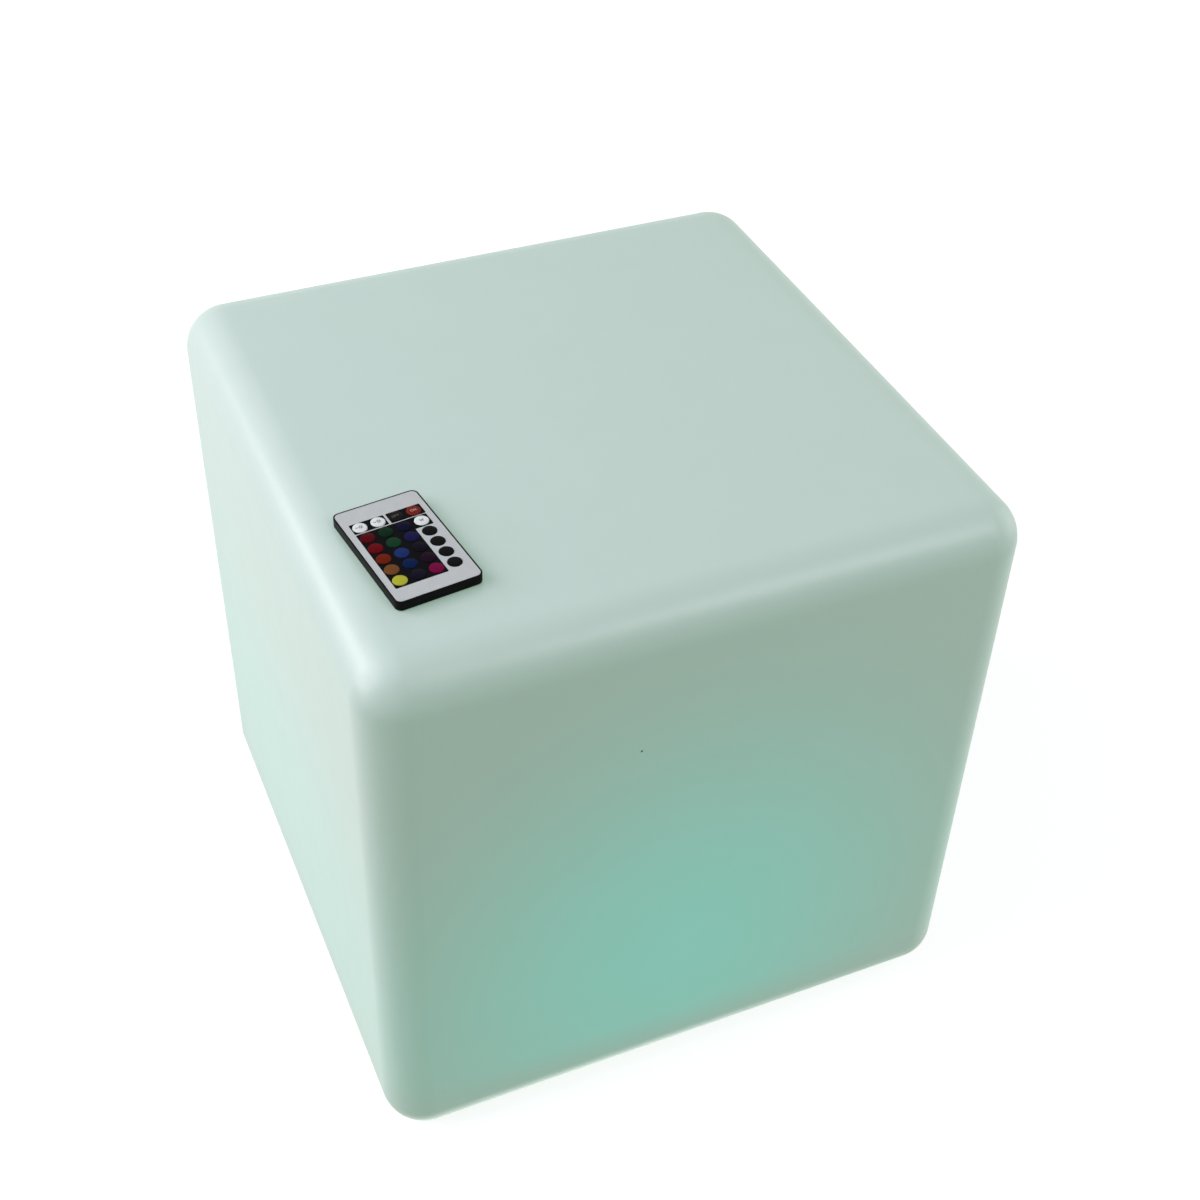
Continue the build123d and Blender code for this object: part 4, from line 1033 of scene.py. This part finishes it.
# %% [markdown]
# ## The LEDs
# Twenty-four surface-mounted LEDs sit in two rings. Each is a white cup, one corner cut off to
# mark its polarity, filled with yellow phosphor. The outline is drawn once, raised to its height
# and hollowed, and every copy carries its own local position as an attribute, so that one
# material can paint the phosphor of all of them.

# %% Paint the LEDs
LED_WHITE = (0.86, 0.85, 0.80)
LED_GEL = (0.85, 0.62, 0.10)
LED_GLOW = (0.10, 0.55, 0.42)
LED_GEL_RADIUS = 1.95 * MM


def led_paint(start, colour):
    local = start.node("ShaderNodeAttribute", {"attribute_name": "local"}, {}, "Vector")
    away = local.vector("MULTIPLY", (1, 1, 0)).vector("LENGTH")
    gel = eased((LED_GEL_RADIUS - away) / (0.15 * MM))
    fine = noise(local, 0.4 * MM, 3)
    return {
        "Base Color": mix(gel, shaded(local, colour, 1 * MM, 0.04), LED_GEL),
        "Emission Color": mix(gel, (0.0, 0.0, 0.0), LED_GLOW),
        "Emission Strength": 0.6,
        "Roughness": clamp(fine * 0.05 + 0.35 - gel * 0.2),
        "Normal": bump(fine, 0.005 * MM),
    }


finishes["led_package"] = painted("led_package", led_paint, LED_WHITE)
print("LED finish", len(finishes["led_package"].node_tree.nodes), "nodes")

# %% Set the LEDs
LED_HALF = 2.5
LED_CUT = 0.8
LED_TALL = 1.6 * MM
LED_CRISP = 30
LED_CUP = {"Radius Top": 2.1 * MM, "Radius Bottom": 1.8 * MM, "Depth": 0.5 * MM}
LED_RINGS = ((16, 34.304 * MM), (8, 17.152 * MM))


def led_rule(start, size):
    sides = start.node("GeometryNodeExtrudeMesh", {"mode": "FACES"}, {
        "Mesh": start, "Offset Scale": size["Height"], "Individual": False})
    base = start.node("GeometryNodeFlipFaces", {}, {"Mesh": start})
    block = start.node("GeometryNodeJoinGeometry", {}, {"Geometry": sides})
    plug(start.tree, block.socket.node.inputs["Geometry"], base)
    block = block.node("GeometryNodeMergeByDistance", {}, {"Geometry": block, "Distance": MERGE})
    cup = start.node("GeometryNodeMeshCone", {}, {"Vertices": 24, **LED_CUP})
    cup = moved(cup, z=size["Height"] - LED_CUP["Depth"] / 2)
    one = soft_shaded(boolean(block, "DIFFERENCE", cup), LED_CRISP)
    at = start.node("GeometryNodeInputPosition")
    one = one.node("GeometryNodeStoreNamedAttribute", {"data_type": "FLOAT_VECTOR"}, {
        "Geometry": one, "Name": "local", "Value": at})
    rings = start.node("GeometryNodeJoinGeometry")
    for count, radius in LED_RINGS:
        circle = circle_of(start, count, radius, size["Board top"], math.pi / count)
        x = at.part()
        facing = point(start, z=x.other(1).math("ARCTAN2", x))
        copies = start.node("GeometryNodeInstanceOnPoints", {}, {
            "Points": circle, "Instance": one, "Rotation": facing})
        plug(start.tree, rings.socket.node.inputs["Geometry"], copies)
    return rings


led_sizes = {"Height": LED_TALL, "Board top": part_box("leds")[0].z}
outline = [(-LED_HALF, -LED_HALF), (LED_HALF - LED_CUT, -LED_HALF), (LED_HALF, -LED_HALF + LED_CUT),
           (LED_HALF, LED_HALF), (-LED_HALF, LED_HALF)]
led_mesh = [(x * MM, y * MM, 0) for x, y in outline]
led_tree = rule("led rule", led_sizes, led_rule)
led_ring = grow("led_packages", led_tree, finishes["led_package"], led_sizes,
                (led_mesh, [], [tuple(range(len(outline)))]))
stand_for(led_ring, "leds")
print("LEDs", len(led_ring.data.polygons), "faces")

# %% [markdown]
# ## The marks on the keys
# A few keys carry generic marks: a sun with a chevron for brighter and dimmer, W for white, ON
# and OFF. A picture of them would blur close up, so each mark is a short list of rings and lines
# in millimetres, and the ink is wherever the distance to the nearest of them is small.

# %% Write the marks down
GLYPH_STROKE = 0.16
GREY_INK = (0.07, 0.08, 0.08)
SUN = [(0.5, 0.0, 0.62)] + [
    (0.5 + 0.95 * math.cos(t), 0.95 * math.sin(t), 0.5 + 1.3 * math.cos(t), 1.3 * math.sin(t))
    for t in (math.radians(45 * i) for i in range(8))]
GLYPHS = {
    "key_brighter": {"ink": GREY_INK, "lines": SUN + [
        (-2.5, -0.3, -1.9, 0.4), (-1.9, 0.4, -1.3, -0.3)]},
    "key_dimmer": {"ink": GREY_INK, "lines": SUN + [
        (-2.5, 0.3, -1.9, -0.4), (-1.9, -0.4, -1.3, 0.3)]},
    "key_white": {"ink": (0.03, 0.03, 0.03), "lines": [
        (-1.1, 0.9, -0.55, -0.9), (-0.55, -0.9, 0.0, 0.6),
        (0.0, 0.6, 0.55, -0.9), (0.55, -0.9, 1.1, 0.9)]},
    "key_on": {"ink": (0.62, 0.36, 0.30), "lines": [
        (-1.0, 0.0, 0.75),
        (0.35, -0.75, 0.35, 0.75), (0.35, 0.75, 1.45, -0.75), (1.45, -0.75, 1.45, 0.75)]},
    "key_off": {"ink": (0.13, 0.11, 0.09), "lines": [
        (-1.65, 0.0, 0.7),
        (-0.45, -0.7, -0.45, 0.7), (-0.45, 0.7, 0.35, 0.7), (-0.45, 0.05, 0.2, 0.05),
        (0.95, -0.7, 0.95, 0.7), (0.95, 0.7, 1.75, 0.7), (0.95, 0.05, 1.6, 0.05)]},
}
print(len(GLYPHS), "keys with a mark")

# %% Draw a mark as a distance
INK_EDGE = 0.06


def in_place(start, centre, turn):
    """Position in millimetres from a centre, along axes that are turned about Z."""
    at = position(start)
    return at.node("ShaderNodeMapping", {"vector_type": "TEXTURE"}, {
        "Vector": at, "Location": tuple(centre), "Rotation": (0, 0, turn), "Scale": (MM, MM, MM)})


def stroke(at, line):
    """Distance in millimetres from a ring (x, y, radius) or from a line (x0, y0, x1, y1)."""
    from_start = at.vector("SUBTRACT", (*line[:2], 0))
    if len(line) == 3:
        return abs(from_start.vector("LENGTH") - line[2])
    run = Vector((line[2] - line[0], line[3] - line[1], 0))
    share = clamp(from_start.vector("DOT_PRODUCT", tuple(run)) / run.length_squared)
    reached = at.node("ShaderNodeVectorMath", {"operation": "SCALE"}, {0: tuple(run), "Scale": share})
    return from_start.vector("DISTANCE", reached)


def drawn(at, lines, width):
    """A mask of strokes, seen from above, whatever the height."""
    flat = at.vector("MULTIPLY", (1, 1, 0))
    nearest = stroke(flat, lines[0])
    for line in lines[1:]:
        nearest = nearest.least(stroke(flat, line))
    return clamp((width - nearest) / INK_EDGE + 0.5)


print("a stroke is", 2 * GLYPH_STROKE, "mm wide")

# %% [markdown]
# ## The remote's keys
# Each key is a low dome with a soft shoulder, hollow underneath, with a flange that keeps it
# under the cover. All 24 are the same turned form, but each moves on its own, so each is its own
# mesh, grown by one rule at its own place. Coloured keys are deep in tone and have hardly any
# shine, so they take a share of their slot's colour. The white ones keep all of it.

# %% Paint for the keys
KEY_SHINE = 0.03
KEY_SHARE = 0.40
PALE_KEYS = {"key_white": 1.0, "key_dimmer": 1.0, "key_brighter": 1.0, "key_yellow": 0.85}
KEY_DUST = (0.45, 0.45, 0.44)


def key_paint(start, colour, centre, glyph):
    at = in_place(start, centre, remote_turn)
    peel = noise(at, 0.9, 3)
    dust = specks(at, 1.1, 0.07, 0.25)
    tone = shaded(at, colour, 2.5, 0.06)
    if glyph:
        tone = mix(drawn(at, glyph["lines"], GLYPH_STROKE), tone, glyph["ink"])
    return {
        "Base Color": mix(dust * 0.6, tone, KEY_DUST),
        "Roughness": clamp(peel * 0.05 + dust * 0.3 + 0.36),
        "Specular IOR Level": KEY_SHINE,
        "Normal": bump(peel, 0.006 * MM),
    }


key_nodes = [node for node in nodes if node.startswith("key_")]
print(len(key_nodes) - len(PALE_KEYS), "of", len(key_nodes), "keys take", KEY_SHARE, "of their colour")

# %% Grow the keys
KEY_FLANGE = 4.70
KEY_SIDE = 4.10
KEY_HOLLOW = 3.00
KEY_LEVELS = {"flange": 5.05, "flange_top": 5.35, "ceiling": 6.00, "shoulder": 6.42, "crown": 6.90}
KEY_CORNER = 0.2
KEY_AROUND = 48
KEY_CRISP = 40
DOME_STEPS = 7


def key_profile():
    low, top, ceiling, shoulder, crown = KEY_LEVELS.values()
    inside = [(0, ceiling), (KEY_HOLLOW, ceiling), (KEY_HOLLOW, low)]
    flange = [(KEY_FLANGE, low), (KEY_FLANGE, top), (KEY_SIDE, top)]
    corner = arc(KEY_SIDE - KEY_CORNER, shoulder, KEY_CORNER, 0, 70, 4)
    edge_r, edge_z = corner[-1]
    shares = [i / DOME_STEPS for i in range(DOME_STEPS - 1, -1, -1)]
    dome = [(edge_r * s, crown - (crown - edge_z) * s * s) for s in shares]
    return inside + flange + corner + dome


key_tree = rule("key rule", {"X": 0.0, "Y": 0.0, "Z": 0.0},
                lathe_rule(len(key_profile()), KEY_AROUND, KEY_CRISP))
for node in key_nodes:
    low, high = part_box(node)
    centre = Vector(((low.x + high.x) / 2, (low.y + high.y) / 2, remote_low.z))
    colour = slot_colour(node, PALE_KEYS.get(node, KEY_SHARE))
    finish = painted(node, key_paint, colour, centre, GLYPHS.get(node))
    values = dict(zip("XYZ", centre))
    stand_for(grow(node + "_cap", key_tree, finish, values, profile_mesh(key_profile())), node)
print(len(key_nodes), "keys")

# %% [markdown]
# ## The remote's printed face
# The face is a pale satin film with black fields printed behind the keys. The fields are simple
# rounded rectangles, so the print is worked out as a distance from each rectangle, in the
# remote's own millimetres. It stays sharp at any distance, unlike a picture.

# %% The printed fields
PRINT_FIELDS = ((-20.9, -0.5, 20.1, 29.0), (0.9, 21.4, 19.9, 29.0),
                (-20.9, 10.0, -30.8, 19.4), (9.0, 21.0, 9.4, 19.4))
PRINT_CORNER = 0.7
PRINT_EDGE = 0.12


def field(x, y, left, right, low, high):
    """A mask of a rounded rectangle."""
    over_x = abs(x - (left + right) / 2) - ((right - left) / 2 - PRINT_CORNER)
    over_y = abs(y - (low + high) / 2) - ((high - low) / 2 - PRINT_CORNER)
    corner = (over_x.most(0) ** 2 + over_y.most(0) ** 2) ** 0.5
    away = corner + over_x.most(over_y).least(0) - PRINT_CORNER
    return clamp(0.5 - away / PRINT_EDGE)


print("face fields", len(PRINT_FIELDS))

# %% Paint the face
FACE_PALE = (0.585, 0.606, 0.602)
FACE_BLACK = (0.002, 0.002, 0.003)
FACE_DUST = (0.38, 0.38, 0.37)
FACE_SHINE = 0.03


def face_paint(start):
    at = in_place(start, (remote_centre.x, remote_centre.y, remote_low.z), remote_turn)
    x = at.part()
    inked = field(x, x.other(1), *PRINT_FIELDS[0])
    for sizes in PRINT_FIELDS[1:]:
        inked = inked.most(field(x, x.other(1), *sizes))
    film = noise(at, 0.35, 3)
    wear = scratches(at, 5, 0.10, 0.35)
    motes = specks(at, 1.9, 0.09, 0.3)
    tone = mix(inked, shaded(at, FACE_PALE, 6, 0.03), FACE_BLACK)
    return {
        "Base Color": mix((wear * 0.35).most(motes * 0.5), tone, FACE_DUST),
        "Roughness": clamp(film * 0.05 + wear * 0.2 + 0.42 - inked * 0.04),
        "Specular IOR Level": FACE_SHINE,
        "Normal": bump(film * 0.5 + inked * 0.3, 0.008 * MM),
    }


finishes["face_print"] = painted("face_print", face_paint)
print("face finish", len(finishes["face_print"].node_tree.nodes), "nodes")

# %% [markdown]
# ## The push button
# The power button is turned too: a green cap with a shallow dish for a fingertip, and a collar
# that keeps it in the switch. The usual ring-and-bar sign for power is printed in its dish, with
# the same strokes as the marks on the keys: a ring, less a gap at its top, and a bar.

# %% Paint the button
POWER_RING = [(0.0, 0.0, 1.7)]
POWER_BAR = [(0.0, 0.5, 0.0, 2.3)]
POWER_GAP = [(0.0, 1.2, 0.0, 2.4)]
POWER_STROKE = 0.2
POWER_GAP_HALF = 0.55
POWER_DEEP = 1.0
POWER_INK = (0.8, 0.82, 0.8)
button_low, button_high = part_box("power_button")
button_middle = (button_low + button_high) / 2
button_place = (button_middle.x, button_middle.y, button_low.z)


def button_paint(start, colour):
    at = in_place(start, button_place, 0)
    gap = drawn(at, POWER_GAP, POWER_GAP_HALF)
    ring = drawn(at, POWER_RING, POWER_STROKE) * (1 - gap)
    in_dish = clamp((POWER_DEEP - at.part(2)) / 0.2)
    sign = ring.most(drawn(at, POWER_BAR, POWER_STROKE)) * in_dish
    skin = noise(at, 0.7, 3)
    rubbed = clamp(noise(at, 3.0, 2)) * 0.2
    return {
        "Base Color": mix(sign, shaded(at, colour, 2.0, 0.06), POWER_INK),
        "Roughness": clamp(skin * 0.05 + rubbed + 0.22),
        "Normal": bump(skin + sign, 0.006 * MM),
    }


paint_family({"button_green": {}}, button_paint)

# %% Turn the button
BUTTON_SIDE = 4.2
BUTTON_CORNER = 0.9
BUTTON_COLLAR = 4.9
BUTTON_CRISP = 35
BUTTON_AROUND = 64

button_tall = (button_high.z - button_low.z) / MM
collar_low = button_tall - 0.7
button_points = [(0, 0.25), (1.4, 0.2), (2.6, 0.06)]
button_points += arc(BUTTON_SIDE - BUTTON_CORNER, BUTTON_CORNER, BUTTON_CORNER, -90, 0, 6)
button_points += [(BUTTON_SIDE, collar_low), (BUTTON_COLLAR, collar_low), (BUTTON_COLLAR, button_tall),
                  (0, button_tall)]
button_values = dict(zip("XYZ", button_place))
button_tree = rule("button rule", button_values,
                   lathe_rule(len(button_points), BUTTON_AROUND, BUTTON_CRISP))
button = grow("button_cap", button_tree, finishes["button_green"], button_values,
              profile_mesh(button_points))
stand_for(button, "power_button")
print("button", len(button.data.polygons), "faces")

# %% [markdown]
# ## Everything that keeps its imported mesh
# The boards, the keypad's mat and the remote's cover and face are right as they are. They get
# their finish through their material slots, and their meshes are left alone.

# %% Finish the carried-over parts
kept = [node for node in nodes if node not in stood_for]
for node in kept:
    for slot in nodes[node].material_slots:
        slot.material = finishes[slot_of_node[node]]
print(len(kept), "parts keep their packed mesh:", ", ".join(kept))
